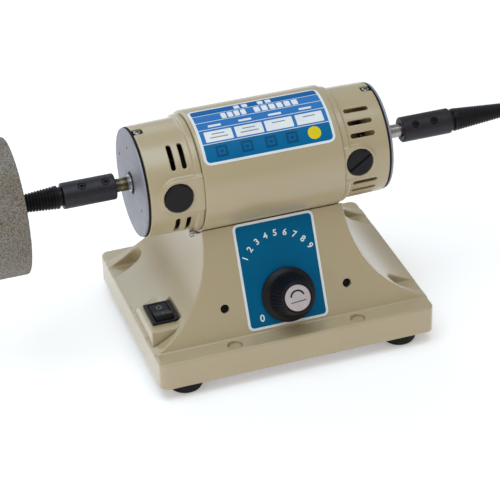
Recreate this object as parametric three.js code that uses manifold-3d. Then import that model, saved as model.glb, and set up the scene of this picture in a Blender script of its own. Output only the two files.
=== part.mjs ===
// A small double-ended polishing and grinding bench lathe with variable speed.
// A brushed motor with permanent magnets lies across a cast pedestal base.  Each end of its
// shaft carries a sleeve with a tapered spindle, and an abrasive wheel sits on the left one.
// Units are millimetres, +X runs along the shaft to the right, +Y to the back and +Z up.
// The origin is on the bench, under the middle of the base.

import * as THREE from 'three';
import { mergeVertices } from 'three/addons/utils/BufferGeometryUtils.js';
import Module from 'manifold-3d';

const wasm = await Module();
wasm.setup();

// ---------------------------------------------------------------- driving dimensions

const GAP = 0.3; // clearance between neighbouring pieces
const FULL_TURN = Math.PI * 2;

// base casting
const BASE_WIDTH = 214;
const BASE_DEPTH = 165;
const BASE_CORNER = 6;
const BASE_BOTTOM = 10.2;
const SKIRT_TOP = 32.4;
const WALL = 4;
const LEDGE = 14.6; // flat strip in front of and behind the sloping faces
const FACE_TILT = THREE.MathUtils.degToRad(25); // lean of the sloping faces from vertical
const PEDESTAL_TOP = 112;
const SWEEP_CENTRE = -2.4; // the pedestal stands a little left of the middle
const SWEEP_TOP = 54.5;
const SWEEP_BEND = 70.1;
const SWEEP_FOOT = 106.4;
const SWEEP_UPPER_Z = 75.1;
const SWEEP_LOWER_Z = 47.9;
const SWEEP_STEPS = 12;

// recesses and lands of the base
const POCKET_Y = 50.5;
const POCKET_WIDTH = 15;
const POCKET_INNER_X = 82;
const POCKET_FLOOR = 32;
const LAND_TOP = 45.2;
const LAND_LEFT = -104.5;
const LAND_RIGHT = -78;
const LAND_FRONT = -57;
const LAND_BACK = -17;
const LAND_SLOPE = 12; // run of the ramps that lead from the land up into the sweep
const RECESS_X = 48;
const RECESS_Y = 75.3;
const RECESS_RADIUS = 5.2;
const RECESS_DEPTH = 2;

// feet, cover and cord bushing
const FOOT_X = 84.5;
const FOOT_Y = 66;
const FOOT_RADIUS = 12.8;
const COVER_THICKNESS = 2;
const BUSHING_X = 62;
const BUSHING_Z = 21;
const BUSHING_REACH = 84.9; // distance of its outer face behind the middle of the base
const BUSHING_BORE = 3.2;
const BUSHING_BODY = 5;
const BUSHING_FLANGE = 6.8;

// front face: distances are measured up the slope from its foot
const PANEL_X = -3;
const PANEL_WIDTH = 62.5;
const PANEL_FOOT = 2.4;
const PANEL_LENGTH = 80;
const PANEL_THICKNESS = 0.6;
const PANEL_CORNER = 3;
const KNOB_X = -0.6;
const KNOB_UP = 24.4;
const CASE_SCREW_X = [-49.3, 46.1];
const CASE_SCREW_UP = 23.1;
const CASE_SCREW_HOLE = 3.2;
const CONTROL_NECK = 4.4; // threaded neck of the speed control, through the wall

// speed knob, measured out from the sloping face
const KNOB_FOOT = 1.5;
const KNOB_SKIRT_RADIUS = 20.5;
const KNOB_SKIRT_TOP = 5;
const KNOB_GRIP_RADIUS = 16;
const KNOB_TIP_RADIUS = 12;
const KNOB_TIP = 25;
const KNOB_CAP_RADIUS = 9.7;
const KNOB_SHAFT_RADIUS = 3;
const KNOB_SOCKET_TOP = 16.5;

// rocker switch
const SWITCH_X = -91.8;
const SWITCH_Y = -35.8;
const SWITCH_WIDTH = 20.6;
const SWITCH_LENGTH = 26.6;
const BEZEL_HEIGHT = 2;
const ROCKER_WIDTH = 13.4;
const ROCKER_RADIUS = 10.7;
const ROCKER_RIDGE = 2.4; // height of the middle of its top above the pivot
const SWITCH_BODY_DEPTH = 18;
const SWITCH_BODY_INSET = [1.4, 1.9]; // how far the body is inside the bezel, across and along
const ROCKER_REST_TILT = THREE.MathUtils.degToRad(-9);

// motor: positions along the shaft
const AXIS_Z = 139.4;
const PLATE_LEFT = -98.8;
const PLATE_RIGHT = 90.1;
const SHELL_LEFT = -56;
const SHELL_RIGHT = 50.5;
const SHELL_RADIUS = 45.4;
const SHELL_BORE = 41.4;
const RING_RADIUS = 43.4;
const RING_WIDTH = 5;
const BELL_RADIUS = 41.6;
const BELL_END_RADIUS = 41;
const BELL_BORE = 37.9;
const PLATE_RADIUS = 40.1;
const PLATE_THICKNESS = 1.6;
const PLATE_HOLE = 8.5;
const GASKET_RADIUS = 40.6;
const GASKET_THICKNESS = 1;
const BRUSH_TILT = 7.5; // degrees that the brush line lies above the level
const LEFT_CAP_X = -75.3;
const RIGHT_CAP_X = 62.4;
const VENT_WIDTH = 3.4;
const LEFT_VENT_X = [-75.3, -67.2];
const LEFT_VENT_OFFSETS = [-41, 41]; // degrees from the brush line
const LEFT_VENT_HALF_ANGLE = 13.8;
const RIGHT_VENT_ENDS = [58.6, 77.5];
const RIGHT_VENT_OFFSETS = [-53.5, -40, -26.8, 26.8, 40.2, 54.3];

// top label on the motor shell, angles up from the front
const LABEL_LEFT = -53.6;
const LABEL_RIGHT = 46;
const LABEL_LOW = 32;
const LABEL_HIGH = 97;
const LABEL_THICKNESS = 0.4;

// shaft, sleeves, spindles and wheel
const SHAFT_RADIUS = 5;
const SHAFT_MIDDLE_RADIUS = 7;
const BEARING_RADIUS = 13;
const BEARING_WIDTH = 8;
const SLEEVE_RADIUS = 9.6;
const SLEEVE_INNER = 111.5; // distances of its ends from the middle of the machine
const SLEEVE_OUTER = 150.8;
const SET_SCREW_X = { left: [-118.7, -136.3], right: [121.4, 136.3] };
const SET_SCREW_ANGLE = { left: 60, right: 44 }; // degrees up from the front
const SHANK_LENGTH = 17; // part of a spindle that sits in its sleeve
const SPINDLE_NECK = 7;
const SPINDLE_TIP = 245;
const SPINDLE_ROOT = 153.5;
const SPINDLE_ROOT_RADIUS = 8.7;
const SPINDLE_TIP_RADIUS = 1.5;
const WHEEL_RADIUS = 50;
const WHEEL_WIDTH = 24.5;
const WHEEL_FACE = -185;

// ---------------------------------------------------------------- materials

function material(color, roughness, metalness) {
  return new THREE.MeshStandardMaterial({ color, roughness, metalness, flatShading: true });
}

const CREAM = 0xc9c3ad;
const BLACK = 0x1b1a1c;
const STEEL = 0xa3a4aa;
const DARK_STEEL = 0x3a383d;
const TEAL = 0x005678;
const BLUE = 0x2f6fa8;
const COPPER = 0xa5572c;
const BRASS = 0xb89a55;
const WHEEL_GREY = 0x77736d;
const CAP_GREY = 0xb9b4b0;
const BOARD_GREEN = 0x2f5d3a;

// ---------------------------------------------------------------- geometry helpers

/** Signed volume of an indexed triangle mesh. */
function signedVolume(geometry) {
  const points = geometry.attributes.position;
  const index = geometry.index;
  const a = new THREE.Vector3();
  const b = new THREE.Vector3();
  const c = new THREE.Vector3();
  let volume = 0;
  for (let i = 0; i < index.count; i += 3) {
    a.fromBufferAttribute(points, index.getX(i));
    b.fromBufferAttribute(points, index.getX(i + 1));
    c.fromBufferAttribute(points, index.getX(i + 2));
    volume += a.dot(b.cross(c)) / 6;
  }
  return volume;
}

/** Merge shared corners, drop triangles without area and turn all faces outward. */
function closed(geometry) {
  const bare = geometry.clone();
  bare.deleteAttribute('normal');
  bare.deleteAttribute('uv');
  const merged = mergeVertices(bare, 1e-4);
  const source = merged.index;
  const corners = [];
  for (let i = 0; i < source.count; i += 3) {
    const [a, b, c] = [source.getX(i), source.getX(i + 1), source.getX(i + 2)];
    if (a !== b && b !== c && c !== a) corners.push(a, b, c);
  }
  merged.setIndex(corners);
  if (signedVolume(merged) < 0) merged.setIndex(corners.reverse());
  return merged;
}

/** A manifold solid from a closed three.js geometry. */
function solid(geometry) {
  const mesh = closed(geometry);
  return new wasm.Manifold(new wasm.Mesh({
    numProp: 3,
    vertProperties: new Float32Array(mesh.attributes.position.array),
    triVerts: new Uint32Array(mesh.index.array),
  }));
}

/** A three.js geometry from a manifold solid. */
function geometryOf(manifold) {
  const mesh = manifold.getMesh();
  const geometry = new THREE.BufferGeometry();
  geometry.setAttribute('position', new THREE.BufferAttribute(new Float32Array(mesh.vertProperties), 3));
  geometry.setIndex(new THREE.BufferAttribute(new Uint32Array(mesh.triVerts), 1));
  return geometry;
}

function joined(geometries) {
  const solids = geometries.map(solid);
  return geometryOf(solids.reduce((whole, next) => whole.add(next)));
}

function cut(geometry, cutters) {
  return geometryOf(cutters.map(solid).reduce((whole, tool) => whole.subtract(tool), solid(geometry)));
}

function common(first, second) {
  return geometryOf(solid(first).intersect(solid(second)));
}

/** Box between two opposite corners. */
function box(low, high) {
  const size = high.map((value, axis) => value - low[axis]);
  const geometry = new THREE.BoxGeometry(...size);
  return geometry.translate(...low.map((value, axis) => value + size[axis] / 2));
}

/** Closed profile of [distance along, radius] pairs, turned about +Z. */
function turnedZ(profile, segments = 20) {
  const points = profile.map(([along, radius]) => new THREE.Vector2(radius, along));
  points.push(points[0].clone());
  return new THREE.LatheGeometry(points, segments).rotateX(Math.PI / 2);
}

/** Closed profile of [distance along, radius] pairs, turned about +X. */
function turnedX(profile, segments = 20) {
  return turnedZ(profile, segments).rotateY(Math.PI / 2);
}

/** Plain cylinder about +Z between two heights. */
function post(radius, low, high, segments = 14) {
  return new THREE.CylinderGeometry(radius, radius, high - low, segments)
    .rotateX(Math.PI / 2)
    .translate(0, 0, (low + high) / 2);
}

/** Plain cylinder about +X. */
function bar(radius, left, right, segments = 20) {
  return post(radius, left, right, segments).rotateY(Math.PI / 2);
}

function extruded(shape, depth, curveSegments = 4) {
  return new THREE.ExtrudeGeometry(shape, { depth, bevelEnabled: false, curveSegments });
}

/** Outline in X and Z, extruded along Y from front to back. */
function extrudedAlongY(shape, front, back, curveSegments) {
  return extruded(shape, back - front, curveSegments).rotateX(Math.PI / 2).translate(0, back, 0);
}

/** Outline in Y and Z, extruded along X from left to right. */
function extrudedAlongX(shape, left, right, curveSegments) {
  return extruded(shape, right - left, curveSegments)
    .rotateX(Math.PI / 2)
    .rotateZ(Math.PI / 2)
    .translate(left, 0, 0);
}

/** Rectangle with round corners about a centre. */
function roundedRectangle(width, height, radius, x = 0, y = 0) {
  const shape = new THREE.Shape();
  const [right, top] = [x + width / 2 - radius, y + height / 2 - radius];
  const [left, low] = [x - width / 2 + radius, y - height / 2 + radius];
  shape.absarc(right, top, radius, 0, Math.PI / 2);
  shape.absarc(left, top, radius, Math.PI / 2, Math.PI);
  shape.absarc(left, low, radius, Math.PI, Math.PI * 1.5);
  shape.absarc(right, low, radius, Math.PI * 1.5, FULL_TURN);
  return shape;
}

function polygon(points) {
  return new THREE.Shape(points.map(([x, y]) => new THREE.Vector2(x, y)));
}

/** Part of a ring in Y and Z between two angles, which are measured up from the front. */
function ringSector(inner, outer, lowDegrees, highDegrees) {
  const start = Math.PI - THREE.MathUtils.degToRad(highDegrees);
  const end = Math.PI - THREE.MathUtils.degToRad(lowDegrees);
  const shape = new THREE.Shape();
  shape.absarc(0, 0, outer, start, end, false);
  shape.absarc(0, 0, inner, end, start, true);
  return shape;
}

/** Turn that points +Z out from the shaft at an angle up from the front. */
function outwardTurn(degreesUp) {
  return THREE.MathUtils.degToRad(90 - degreesUp);
}

function pointedOut(geometry, degreesUp) {
  return geometry.rotateX(outwardTurn(degreesUp));
}

function addPart(parent, name, geometry, look) {
  const mesh = new THREE.Mesh(closed(geometry), look);
  mesh.name = name;
  parent.add(mesh);
  return mesh;
}

// ---------------------------------------------------------------- groups

const machine = new THREE.Group();

const motor = new THREE.Group();
motor.position.set(0, 0, AXIS_Z);
machine.add(motor);

// the sloping front face: X along the foot, Y up the slope and Z out of the face
const frontFace = new THREE.Group();
frontFace.position.set(0, LEDGE - BASE_DEPTH / 2, SKIRT_TOP);
frontFace.rotation.x = Math.PI / 2 - FACE_TILT;
frontFace.updateMatrix();
machine.add(frontFace);

const frontBrushes = new THREE.Group();
frontBrushes.rotation.x = outwardTurn(BRUSH_TILT);
motor.add(frontBrushes);

const rearBrushes = new THREE.Group();
rearBrushes.rotation.x = outwardTurn(BRUSH_TILT + 180);
motor.add(rearBrushes);

// ---------------------------------------------------------------- base casting

/** Outline of the pedestal in X and Z: two concave sweeps under a flat top. */
function sweepOutline(inset, floor) {
  const side = (sign) => new THREE.CubicBezierCurve(
    new THREE.Vector2(SWEEP_CENTRE + sign * (SWEEP_TOP - inset), PEDESTAL_TOP),
    new THREE.Vector2(SWEEP_CENTRE + sign * (SWEEP_TOP - inset), SWEEP_UPPER_Z - inset / 2),
    new THREE.Vector2(SWEEP_CENTRE + sign * (SWEEP_BEND - inset), SWEEP_LOWER_Z - inset),
    new THREE.Vector2(sign * (SWEEP_FOOT - inset), SKIRT_TOP - inset),
  ).getPoints(SWEEP_STEPS);
  const points = [
    ...side(-1).reverse(),
    ...side(1),
    new THREE.Vector2(SWEEP_FOOT - inset, floor),
    new THREE.Vector2(inset - SWEEP_FOOT, floor),
  ];
  return new THREE.Shape(points);
}

/** Outline of the pedestal in Y and Z: a front and a back that lean towards each other. */
function slopeOutline(inset, floor) {
  const foot = BASE_DEPTH / 2 - LEDGE - inset / Math.cos(FACE_TILT);
  const top = foot - (PEDESTAL_TOP - SKIRT_TOP) * Math.tan(FACE_TILT);
  const bottom = foot + (SKIRT_TOP - floor) * Math.tan(FACE_TILT);
  return polygon([
    [-bottom, floor], [bottom, floor], [top, PEDESTAL_TOP], [-top, PEDESTAL_TOP],
  ]);
}

function pedestal(inset, floor) {
  return common(
    extrudedAlongY(sweepOutline(inset, floor), -BASE_DEPTH, BASE_DEPTH),
    extrudedAlongX(slopeOutline(inset, floor), -BASE_WIDTH, BASE_WIDTH),
  );
}

/** Round-ended pocket at a corner, open to the outside; grown by its wall where asked. */
function pocket(signX, signY, wall, floor) {
  const radius = POCKET_WIDTH / 2 + wall;
  const shape = new THREE.Shape();
  shape.absarc(POCKET_INNER_X + POCKET_WIDTH / 2, 0, radius, Math.PI / 2, Math.PI * 1.5);
  shape.lineTo(BASE_WIDTH, -radius);
  shape.lineTo(BASE_WIDTH, radius);
  return extruded(shape, PEDESTAL_TOP - floor)
    .rotateZ(signX < 0 ? Math.PI : 0)
    .translate(0, signY * POCKET_Y, floor);
}

const CORNERS = [[-1, -1], [1, -1], [-1, 1], [1, 1]];

/** Block that carries the switch, level with its land. */
function landBlock() {
  return box([LAND_LEFT, LAND_FRONT, SKIRT_TOP - 1], [LAND_RIGHT, LAND_BACK, LAND_TOP]);
}

/** Space above the land, with ramps that lead up into the sweep. */
function landClearance() {
  const alongX = polygon([
    [LAND_FRONT, LAND_TOP], [LAND_BACK, LAND_TOP],
    [LAND_BACK + LAND_SLOPE, LAND_TOP + 2 * LAND_SLOPE], [LAND_FRONT, LAND_TOP + 2 * LAND_SLOPE],
  ]);
  const alongY = polygon([
    [-BASE_WIDTH, LAND_TOP], [LAND_RIGHT, LAND_TOP],
    [LAND_RIGHT + LAND_SLOPE / 2, LAND_TOP + 2 * LAND_SLOPE], [-BASE_WIDTH, LAND_TOP + 2 * LAND_SLOPE],
  ]);
  return common(
    extrudedAlongX(alongX, -BASE_WIDTH, 0),
    extrudedAlongY(alongY, -BASE_DEPTH, BASE_DEPTH),
  );
}

/** Shallow round recess in a ledge, where the base can be clamped or drilled for a bench bolt. */
function ledgeRecess(signX, signY) {
  return post(RECESS_RADIUS, SKIRT_TOP - RECESS_DEPTH, SKIRT_TOP + 1)
    .translate(signX * RECESS_X, signY * RECESS_Y, 0);
}

function onFrontFace(geometry) {
  return geometry.applyMatrix4(frontFace.matrix);
}

function baseCavity() {
  const inner = roundedRectangle(BASE_WIDTH - 2 * WALL, BASE_DEPTH - 2 * WALL, BASE_CORNER - WALL);
  const tray = extruded(inner, SKIRT_TOP - WALL - BASE_BOTTOM + 1).translate(0, 0, BASE_BOTTOM - 1);
  const upper = pedestal(WALL, BASE_BOTTOM);
  const pocketWalls = CORNERS.map(([x, y]) => pocket(x, y, WALL, POCKET_FLOOR - WALL));
  const saddle = bar(SHELL_RADIUS + GAP + WALL, -BASE_WIDTH, BASE_WIDTH, 24).translate(0, 0, AXIS_Z);
  const landWall = landClearance().translate(0, 0, -WALL);
  return cut(joined([tray, upper]), [...pocketWalls, saddle, landWall]);
}

function baseCasting() {
  const plan = roundedRectangle(BASE_WIDTH, BASE_DEPTH, BASE_CORNER);
  const skirt = extruded(plan, SKIRT_TOP - BASE_BOTTOM).translate(0, 0, BASE_BOTTOM);
  const outer = joined([skirt, pedestal(0, BASE_BOTTOM + WALL)]);
  const pockets = CORNERS.map(([x, y]) => pocket(x, y, 0, POCKET_FLOOR));
  const saddle = bar(SHELL_RADIUS + GAP, -BASE_WIDTH, BASE_WIDTH, 40).translate(0, 0, AXIS_Z);
  const withLand = joined([cut(outer, pockets), landBlock()]);
  const holeHalfWidth = SWITCH_WIDTH / 2 - SWITCH_BODY_INSET[0] + GAP;
  const holeHalfLength = SWITCH_LENGTH / 2 - SWITCH_BODY_INSET[1] + GAP;
  const switchHole = box(
    [SWITCH_X - holeHalfWidth, SWITCH_Y - holeHalfLength, BASE_BOTTOM],
    [SWITCH_X + holeHalfWidth, SWITCH_Y + holeHalfLength, LAND_TOP + 1],
  );
  const knobHole = onFrontFace(post(CONTROL_NECK + GAP, -3 * WALL, WALL).translate(KNOB_X, KNOB_UP, 0));
  const screwHoles = CASE_SCREW_X.map(
    (x) => onFrontFace(post(CASE_SCREW_HOLE, -3 * WALL, WALL).translate(x, CASE_SCREW_UP, 0)),
  );
  const bushingHole = post(BUSHING_BODY + GAP, 0, BASE_DEPTH)
    .rotateX(-Math.PI / 2)
    .translate(BUSHING_X, 0, BUSHING_Z);
  const recesses = CORNERS.map(([x, y]) => ledgeRecess(x, y));
  return cut(withLand, [
    baseCavity(), landClearance(), saddle, switchHole, knobHole, ...screwHoles, bushingHole, ...recesses,
  ]);
}

addPart(machine, 'base_casting', baseCasting(), material(CREAM, 0.45, 0.1));

// ---------------------------------------------------------------- underside and back

function bottomCover() {
  const clear = WALL + GAP;
  const corner = BASE_CORNER - clear;
  const plan = roundedRectangle(BASE_WIDTH - 2 * clear, BASE_DEPTH - 2 * clear, corner);
  return extruded(plan, COVER_THICKNESS).translate(0, 0, BASE_BOTTOM);
}

addPart(machine, 'bottom_cover', bottomCover(), material(STEEL, 0.5, 0.9));

function rubberFoot() {
  const top = BASE_BOTTOM - GAP;
  const edge = 2.2;
  return turnedZ([
    [0, 0], [0, FOOT_RADIUS - edge], [edge * 0.3, FOOT_RADIUS - edge * 0.3], [edge, FOOT_RADIUS],
    [top, FOOT_RADIUS], [top, 0],
  ]);
}

const FOOT_NAMES = ['front_left_foot', 'front_right_foot', 'rear_left_foot', 'rear_right_foot'];
CORNERS.forEach(([x, y], i) => {
  const foot = addPart(machine, FOOT_NAMES[i], rubberFoot(), material(BLACK, 0.8, 0));
  foot.position.set(x * FOOT_X, y * FOOT_Y, 0);
});

function cordBushing() {
  const wallFace = BASE_DEPTH / 2;
  const inner = wallFace - 2 * WALL;
  const edge = 0.8;
  return turnedZ([
    [inner, BUSHING_BORE], [BUSHING_REACH, BUSHING_BORE], [BUSHING_REACH, BUSHING_FLANGE - edge],
    [BUSHING_REACH - edge, BUSHING_FLANGE], [wallFace + GAP, BUSHING_FLANGE],
    [wallFace + GAP, BUSHING_BODY], [inner, BUSHING_BODY],
  ], 16).rotateX(-Math.PI / 2);
}

addPart(machine, 'cord_bushing', cordBushing(), material(BLACK, 0.7, 0))
  .position.set(BUSHING_X, 0, BUSHING_Z);

// ---------------------------------------------------------------- front face

function frontPanel() {
  const middle = PANEL_FOOT + PANEL_LENGTH / 2;
  const plan = roundedRectangle(PANEL_WIDTH, PANEL_LENGTH, PANEL_CORNER, PANEL_X, middle);
  const plate = extruded(plan, PANEL_THICKNESS, 4).translate(0, 0, GAP);
  return cut(plate, [post(CONTROL_NECK + 1, -WALL, WALL).translate(KNOB_X, KNOB_UP, 0)]);
}

addPart(frontFace, 'front_panel', frontPanel(), material(TEAL, 0.4, 0.1));

/** Pan head screw about +Z with its head upward; the head's underside is at zero. */
function panScrew(headRadius, headHeight, shankRadius, shankLength) {
  const slotHalf = headRadius * 0.16;
  const body = turnedZ([
    [-shankLength, 0], [-shankLength, shankRadius], [0, shankRadius], [0, headRadius],
    [headHeight * 0.55, headRadius], [headHeight, headRadius * 0.7], [headHeight, 0],
  ], 12);
  const slot = box([-headRadius, -slotHalf, headHeight * 0.5], [headRadius, slotHalf, headHeight + 1]);
  const crossSlot = slot.clone().rotateZ(Math.PI / 2);
  return cut(body, [slot, crossSlot]);
}

const CASE_SCREW_NAMES = ['case_screw_left', 'case_screw_right'];
CASE_SCREW_X.forEach((x, i) => {
  const screw = panScrew(CASE_SCREW_HOLE - GAP, 1.8, 1.6, 9);
  addPart(frontFace, CASE_SCREW_NAMES[i], screw, material(DARK_STEEL, 0.5, 0.8))
    .position.set(x, CASE_SCREW_UP, GAP - WALL);
});

const speedControl = new THREE.Group();
speedControl.position.set(KNOB_X, KNOB_UP, 0);
frontFace.add(speedControl);

function potentiometer() {
  const [front, back] = [KNOB_FOOT - GAP, -WALL - GAP];
  const [bore, canRadius, canDepth] = [KNOB_SHAFT_RADIUS + GAP, 12, 10];
  return turnedZ([
    [back - canDepth, bore], [back - canDepth, canRadius], [back, canRadius], [back, CONTROL_NECK],
    [front, CONTROL_NECK], [front, bore],
  ]);
}

addPart(speedControl, 'potentiometer', potentiometer(), material(STEEL, 0.4, 0.8));
addPart(speedControl, 'speed_control_shaft',
  post(KNOB_SHAFT_RADIUS, -3 * WALL, KNOB_SOCKET_TOP - GAP, 20), material(STEEL, 0.3, 0.9));

const CAP_RECESS = 2;

function speedKnob() {
  const bore = KNOB_SHAFT_RADIUS + GAP;
  const seat = KNOB_TIP - CAP_RECESS;
  return turnedZ([
    [KNOB_FOOT, bore], [KNOB_FOOT, KNOB_SKIRT_RADIUS], [KNOB_SKIRT_TOP - 1.5, KNOB_SKIRT_RADIUS],
    [KNOB_SKIRT_TOP, KNOB_GRIP_RADIUS + 1], [KNOB_SKIRT_TOP + 1, KNOB_GRIP_RADIUS],
    [KNOB_TIP - 1, KNOB_TIP_RADIUS], [KNOB_TIP, KNOB_TIP_RADIUS - 1], [KNOB_TIP, KNOB_CAP_RADIUS + GAP],
    [seat, KNOB_CAP_RADIUS + GAP], [seat, bore],
  ], 24);
}

addPart(speedControl, 'speed_knob', speedKnob(), material(BLACK, 0.45, 0));
addPart(speedControl, 'knob_cap',
  post(KNOB_CAP_RADIUS, KNOB_TIP - CAP_RECESS + GAP, KNOB_TIP + GAP, 24), material(CAP_GREY, 0.35, 0.6));

// ---------------------------------------------------------------- rocker switch

const rockerSwitch = new THREE.Group();
rockerSwitch.position.set(SWITCH_X, SWITCH_Y, LAND_TOP + GAP);
machine.add(rockerSwitch);

const ROCKER_PIVOT = BEZEL_HEIGHT - ROCKER_RIDGE;
const ROCKER_CLEARANCE = 0.4;

function switchHousing() {
  const [halfWidth, halfLength] = [SWITCH_WIDTH / 2, SWITCH_LENGTH / 2];
  const [bodyWidth, bodyLength] = [halfWidth - SWITCH_BODY_INSET[0], halfLength - SWITCH_BODY_INSET[1]];
  const openWidth = ROCKER_WIDTH / 2 + ROCKER_CLEARANCE;
  const openLength = ROCKER_RADIUS + ROCKER_CLEARANCE;
  const bezel = box([-halfWidth, -halfLength, 0], [halfWidth, halfLength, BEZEL_HEIGHT]);
  const body = box([-bodyWidth, -bodyLength, -SWITCH_BODY_DEPTH], [bodyWidth, bodyLength, 0.5]);
  const wellFloor = -ROCKER_RADIUS / 2 - 1;
  const well = box([-openWidth, -openLength, wellFloor], [openWidth, openLength, BEZEL_HEIGHT + 1]);
  return cut(joined([bezel, body]), [well]);
}

/** Rocker with a shallow V top and round ends about its pivot. */
function rocker() {
  const end = THREE.MathUtils.degToRad(23);
  const shape = new THREE.Shape();
  shape.moveTo(0, ROCKER_RIDGE);
  shape.lineTo(-ROCKER_RADIUS * Math.cos(end), ROCKER_RADIUS * Math.sin(end));
  shape.absarc(0, 0, ROCKER_RADIUS, Math.PI - end, Math.PI + end / 3, false);
  shape.lineTo(0, -ROCKER_RADIUS / 2);
  shape.absarc(0, 0, ROCKER_RADIUS, -end / 3, end, false);
  return extrudedAlongX(shape, -ROCKER_WIDTH / 2, ROCKER_WIDTH / 2, 5);
}

addPart(rockerSwitch, 'switch_housing', switchHousing(), material(BLACK, 0.5, 0));
const rockerMesh = addPart(rockerSwitch, 'switch_rocker', rocker(), material(BLACK, 0.45, 0));
rockerMesh.position.z = ROCKER_PIVOT;
rockerMesh.rotation.x = ROCKER_REST_TILT;

// ---------------------------------------------------------------- control electronics

function controlBoard() {
  const board = box([0, 0, 0], [78, 46, 1.6]);
  const capacitor = post(7, 1, 24).translate(13, 14, 0);
  const smallCapacitor = post(4, 1, 13).translate(30, 34, 0);
  const choke = box([26, 8, 1], [44, 24, 12]);
  const terminals = box([60, 4, 1], [72, 40, 10]);
  return joined([board, capacitor, smallCapacitor, choke, terminals]);
}

addPart(machine, 'control_board', controlBoard(), material(BOARD_GREEN, 0.6, 0.1))
  .position.set(-50, 1, 16);

function heatSink() {
  const plate = box([0, 0, 0], [50, 3, 26]);
  const fins = [0, 1, 2, 3, 4].map((i) => box([2 + i * 11, 2, 0], [4 + i * 11, 12, 26]));
  return joined([plate, ...fins]);
}

addPart(machine, 'heat_sink', heatSink(), material(STEEL, 0.4, 0.9)).position.set(-36, 43.5, 20);

// ---------------------------------------------------------------- motor case

function motorShell() {
  return turnedX([
    [SHELL_LEFT, SHELL_BORE], [SHELL_LEFT, SHELL_RADIUS - 0.8], [SHELL_LEFT + 0.8, SHELL_RADIUS],
    [SHELL_RIGHT - 0.8, SHELL_RADIUS], [SHELL_RIGHT, SHELL_RADIUS - 0.8], [SHELL_RIGHT, SHELL_BORE],
  ], 40);
}

addPart(motor, 'motor_shell', motorShell(), material(CREAM, 0.45, 0.1));

function topLabel() {
  const inner = SHELL_RADIUS + GAP;
  const shape = ringSector(inner, inner + LABEL_THICKNESS, LABEL_LOW, LABEL_HIGH);
  return extrudedAlongX(shape, LABEL_LEFT, LABEL_RIGHT, 12);
}

addPart(motor, 'top_label', topLabel(), material(BLUE, 0.35, 0));

/** Cup-shaped end bell; `end` is its plate side and `mouth` its shell side. */
function plainBell(end, mouth) {
  const inward = Math.sign(mouth - end);
  return turnedX([
    [end, BELL_BORE], [end, BELL_END_RADIUS - 0.8], [end + inward * 0.8, BELL_END_RADIUS],
    [mouth - inward * RING_WIDTH, BELL_RADIUS], [mouth - inward * (RING_WIDTH - 0.4), RING_RADIUS - 0.4],
    [mouth - inward * (RING_WIDTH - 1), RING_RADIUS], [mouth, RING_RADIUS], [mouth, BELL_BORE],
  ], 40);
}

const NOTCH_FLOOR = BELL_BORE + 1.1;
const NOTCH_LENGTH = 7.5;
const NOTCH_HALF_WIDTH = 3.6;
const RIM_SCREW_SHANK = 1.5;

/** Notch in the rim for the screw at the top. */
function rimNotch(end, inward) {
  const edges = [end - inward, end + inward * NOTCH_LENGTH].sort((a, b) => a - b);
  return box([edges[0], -NOTCH_HALF_WIDTH, NOTCH_FLOOR], [edges[1], NOTCH_HALF_WIDTH, RING_RADIUS]);
}

function screwHole(x) {
  return post(RIM_SCREW_SHANK + GAP, BELL_BORE - 2, RING_RADIUS, 12).translate(x, 0, 0);
}

const BOSS_FACE = 43.2;
const LEFT_BELL_END = PLATE_LEFT + PLATE_THICKNESS + GASKET_THICKNESS + 2 * GAP;
const RIGHT_BELL_END = PLATE_RIGHT - PLATE_THICKNESS - GASKET_THICKNESS - 2 * GAP;
const RIM_SCREW_X = { left: LEFT_BELL_END + NOTCH_HALF_WIDTH, right: RIGHT_BELL_END - NOTCH_HALF_WIDTH };
const LEFT_MOUTH = SHELL_LEFT - GAP;
const RIGHT_MOUTH = SHELL_RIGHT + GAP;
const LEFT_CAP_RADIUS = 10.5;
const RIGHT_CAP_RADIUS = 10;
const LEFT_BOSS_RADIUS = 13.4;
const RIGHT_BOSS_RADIUS = 11.3;
const BRUSH_SIDES = [BRUSH_TILT, BRUSH_TILT + 180];


function bellBoss(x, mouth, radius, degreesUp) {
  const shape = new THREE.Shape();
  shape.absarc(0, 0, radius, Math.PI / 2, Math.PI * 1.5);
  shape.lineTo(Math.abs(mouth - x), -radius);
  shape.lineTo(Math.abs(mouth - x), radius);
  const plan = extruded(shape, BOSS_FACE - BELL_BORE + 4, 6).translate(0, 0, BELL_BORE - 4);
  return pointedOut(plan.rotateZ(mouth > x ? 0 : Math.PI).translate(x, 0, 0), degreesUp);
}

function roundBoss(x, radius, degreesUp) {
  return pointedOut(post(radius, BELL_BORE - 4, BOSS_FACE, 20).translate(x, 0, 0), degreesUp);
}

function capHole(x, radius, degreesUp) {
  return pointedOut(post(radius + GAP, BELL_BORE - 8, BOSS_FACE + 5, 20).translate(x, 0, 0), degreesUp);
}

/** Curved slot that runs round the bell, centred on an angle. */
function curvedVent(x, degreesUp) {
  const [low, high] = [degreesUp - LEFT_VENT_HALF_ANGLE, degreesUp + LEFT_VENT_HALF_ANGLE];
  const shape = ringSector(BELL_BORE - 6, RING_RADIUS + 1, low, high);
  return extrudedAlongX(shape, x - VENT_WIDTH / 2, x + VENT_WIDTH / 2, 3);
}

/** Straight slot along the bell. */
function straightVent(degreesUp) {
  const half = VENT_WIDTH / 2;
  const [left, right] = RIGHT_VENT_ENDS;
  return pointedOut(box([left, -half, BELL_BORE - 8], [right, half, RING_RADIUS + 1]), degreesUp);
}

/** Bosses trimmed to start inside the wall of the bell, joined to it. */
function withBosses(bell, bosses) {
  const core = bar(BELL_BORE + 0.5, -BASE_WIDTH, BASE_WIDTH, 40);
  return joined([bell, ...bosses.map((boss) => cut(boss, [core]))]);
}

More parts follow.
